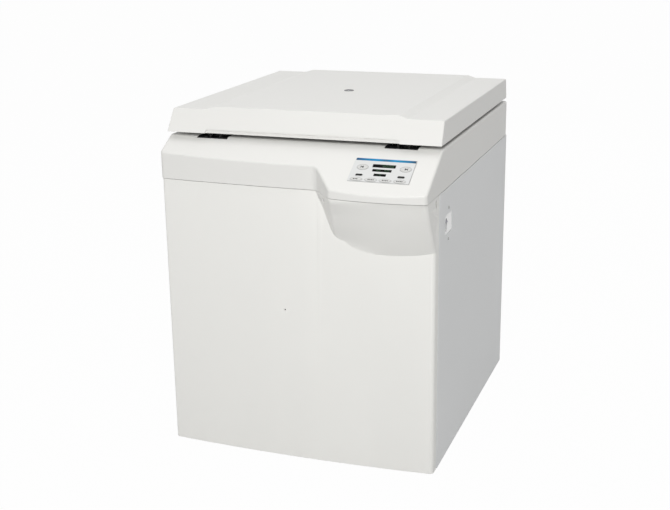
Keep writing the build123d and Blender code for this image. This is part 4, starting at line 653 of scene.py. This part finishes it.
# Screws
def cross_screw(radius, height):
    """Pan head with a cross recess, its axis along Z and its seat at the origin."""
    bpy.ops.object.select_all(action="DESELECT")
    middle = (0, 0, height / 2)
    bpy.ops.mesh.primitive_cylinder_add(vertices=32, radius=radius, depth=height, location=middle)
    head = bpy.context.object
    bpy.ops.object.transform_apply(location=True)
    bpy.ops.object.mode_set(mode="EDIT")
    bpy.ops.mesh.select_all(action="DESELECT")
    bpy.ops.object.mode_set(mode="OBJECT")
    for face in head.data.polygons:
        face.select = face.normal.z > 0.9
    bpy.ops.object.mode_set(mode="EDIT")
    bpy.ops.mesh.bevel(offset=height * SCREW_ROUND, segments=4)
    bpy.ops.object.mode_set(mode="OBJECT")
    for turn in (0, math.pi / 2):
        bpy.ops.object.select_all(action="DESELECT")
        bpy.ops.mesh.primitive_cube_add(size=1, location=(0, 0, height), rotation=(0, 0, turn))
        slot = bpy.context.object
        slot.scale = (radius * SCREW_RECESS[0], radius * SCREW_RECESS[1], height * SCREW_RECESS[2])
        only(head)
        cut = head.modifiers.new("recess", "BOOLEAN")
        cut.operation = "DIFFERENCE"
        cut.object = slot
        bpy.ops.object.modifier_apply(modifier=cut.name)
        bpy.data.objects.remove(slot)
    only(head)
    bpy.ops.object.shade_smooth_by_angle(angle=math.radians(35))
    return head


side_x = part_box("right_side_panel")[1].x
breaker_low, breaker_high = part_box("breaker_body")
breaker_z = (breaker_low.z + breaker_high.z) / 2
rear_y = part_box("rear_panel")[1].y
facing_right = Matrix.Rotation(math.pi / 2, 4, "Y")
facing_rear = Matrix.Rotation(-math.pi / 2, 4, "X")
screw_places = []
for side in (-1, 1):
    place = (side_x, BREAKER_SCREW_Y, breaker_z + side * BREAKER_SCREW_SPACING / 2)
    screw_places.append(Matrix.Translation(place) @ facing_right)
for side in (-1, 1):
    for z in REAR_SCREW_HEIGHTS:
        x = side * (side_x - REAR_SCREW_INSET)
        screw_places.append(Matrix.Translation((x, rear_y, z)) @ facing_rear)
screw = cross_screw(SCREW_RADIUS, SCREW_HEIGHT)
heads = [copy_of(screw, f"screw_{k}", place) for k, place in enumerate(screw_places)]
bpy.data.objects.remove(screw)
screws = joined(heads, "cross_head_screws")
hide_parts("cover_screws")
dress(screws, finishes["screw_steel"], "cabinet")

pin_place = next(joint["pos_m"] for joint in frame["joints"] if joint["name"] == "lid_hinge")
for body, node, carrier, side in (
    ("cabinet", "housing_hinge_leaves", "top_housing", -1), ("lid", "lid_hinge_leaves", "lid_cover", 1),
):
    face_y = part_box(carrier)[1].y + HINGE_LEAF
    screw = cross_screw(HINGE_SCREW_RADIUS, HINGE_SCREW_HEIGHT)
    heads = []
    for hinge_x in (-HINGE_X, HINGE_X):
        for shift in (-HINGE_SCREW_APART, 0, HINGE_SCREW_APART):
            place = (hinge_x + shift, face_y, pin_place[2] + side * HINGE_SCREW_FROM_PIN)
            matrix = Matrix.Translation(place) @ facing_rear
            heads.append(copy_of(screw, f"hinge_screw_{len(heads)}", matrix))
    bpy.data.objects.remove(screw)
    dress(joined(heads, f"{node}_screws"), finishes["screw_steel"], body)

for node, width in SOFT_EDGES.items():
    refined(node, width)
front_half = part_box("front_panel")[1].x
follow_bow(bpy.data.objects["front_panel_finished"], front_half, FRONT_BOW, BOW_FRONT_Y)


# Rib that closes the small hole in the right cheek of the front panel's scoop
bpy.ops.object.select_all(action="DESELECT")
bpy.ops.mesh.primitive_cube_add(size=1, location=RIB_PLACE)
rib = bpy.context.object
rib.scale = RIB_SIZE
dress(soften(settle(rib, "cheek_rib"), RIB_EDGE), off_white, "cabinet")


# Floor, world, lights and camera
FLOOR_SHARE = 0.98


def pale_floor():
    bpy.ops.object.select_all(action="DESELECT")
    bpy.ops.mesh.primitive_plane_add(size=30, location=(0, 0, 0))
    ground = bpy.context.object
    ground.name = "floor"
    material = bpy.data.materials.new("pale_floor")
    material.use_nodes = True
    nodes, links = material.node_tree.nodes, material.node_tree.links
    matt = nodes["Principled BSDF"]
    matt.inputs["Base Color"].default_value = (0.5, 0.5, 0.5, 1)
    matt.inputs["Roughness"].default_value = 0.9
    matt.inputs["Specular IOR Level"].default_value = 0.1
    bright = nodes.new("ShaderNodeEmission")
    bright.inputs["Color"].default_value = (1, 1, 1, 1)
    path = nodes.new("ShaderNodeLightPath")
    seen = nodes.new("ShaderNodeMath")
    seen.operation = "MAXIMUM"
    share = nodes.new("ShaderNodeMath")
    share.operation = "MULTIPLY"
    share.inputs[1].default_value = FLOOR_SHARE
    mix = nodes.new("ShaderNodeMixShader")
    links.new(path.outputs["Is Camera Ray"], seen.inputs[0])
    links.new(path.outputs["Is Glossy Ray"], seen.inputs[1])
    links.new(seen.outputs[0], share.inputs[0])
    links.new(share.outputs[0], mix.inputs["Fac"])
    links.new(matt.outputs["BSDF"], mix.inputs[1])
    links.new(bright.outputs["Emission"], mix.inputs[2])
    links.new(mix.outputs["Shader"], nodes["Material Output"].inputs["Surface"])
    ground.data.materials.append(material)


def white_world(level):
    """White where it is seen or mirrored, and a soft even light otherwise."""
    world = bpy.data.worlds.new("studio")
    bpy.context.scene.world = world
    world.use_nodes = True
    nodes, links = world.node_tree.nodes, world.node_tree.links
    backdrop = nodes["Background"]
    backdrop.inputs["Color"].default_value = (1, 1, 1, 1)
    path = nodes.new("ShaderNodeLightPath")
    seen = nodes.new("ShaderNodeMath")
    seen.operation = "MAXIMUM"
    clear = nodes.new("ShaderNodeMath")
    clear.operation = "MAXIMUM"
    links.new(path.outputs["Is Camera Ray"], seen.inputs[0])
    links.new(path.outputs["Is Glossy Ray"], seen.inputs[1])
    links.new(seen.outputs[0], clear.inputs[0])
    links.new(path.outputs["Is Transmission Ray"], clear.inputs[1])
    strength = nodes.new("ShaderNodeMapRange")
    strength.inputs["To Min"].default_value = level
    strength.inputs["To Max"].default_value = 1.0
    links.new(clear.outputs[0], strength.inputs["Value"])
    links.new(strength.outputs["Result"], backdrop.inputs["Strength"])


def softbox(name, place, target, size, power):
    lamp = bpy.data.lights.new(name, "AREA")
    lamp.shape = "RECTANGLE"
    lamp.size, lamp.size_y = size
    lamp.energy = power
    holder = bpy.data.objects.new(name, lamp)
    bpy.context.scene.collection.objects.link(holder)
    holder.location = place
    holder.rotation_euler = (Vector(target) - Vector(place)).to_track_quat("-Z", "Y").to_euler()
    return holder


pale_floor()
white_world(0.32)
softbox("front_softbox", (0.6, -3.7, 2.35), (0, -0.3, 0.4), (2.2, 1.8), 107)
softbox("top_softbox", (-0.2, 0.2, 3.4), (0, 0, 0.8), (2.6, 2.6), 27)
softbox("right_fill", (3.6, 0.2, 1.6), (0, 0, 0.5), (2.2, 2.2), 16)
rear_light = softbox("rear_softbox", (-0.8, 3.8, 1.8), (0, 0.3, 0.5), (2.4, 2.0), 24)
rear_light.visible_glossy = False

lens = bpy.data.cameras.new("camera")
lens.lens = CAMERA_LENS
lens.sensor_width = SENSOR_WIDTH
camera = bpy.data.objects.new("camera", lens)
bpy.context.scene.collection.objects.link(camera)
turned = Matrix.Rotation(CAMERA_AZIMUTH, 4, "Z") @ Matrix.Rotation(math.pi / 2 - CAMERA_DROP, 4, "X")
camera.matrix_world = Matrix.Translation(CAMERA_PLACE) @ turned @ Matrix.Rotation(CAMERA_ROLL, 4, "Z")
bpy.context.scene.camera = camera
bpy.context.scene.view_settings.view_transform = "Standard"
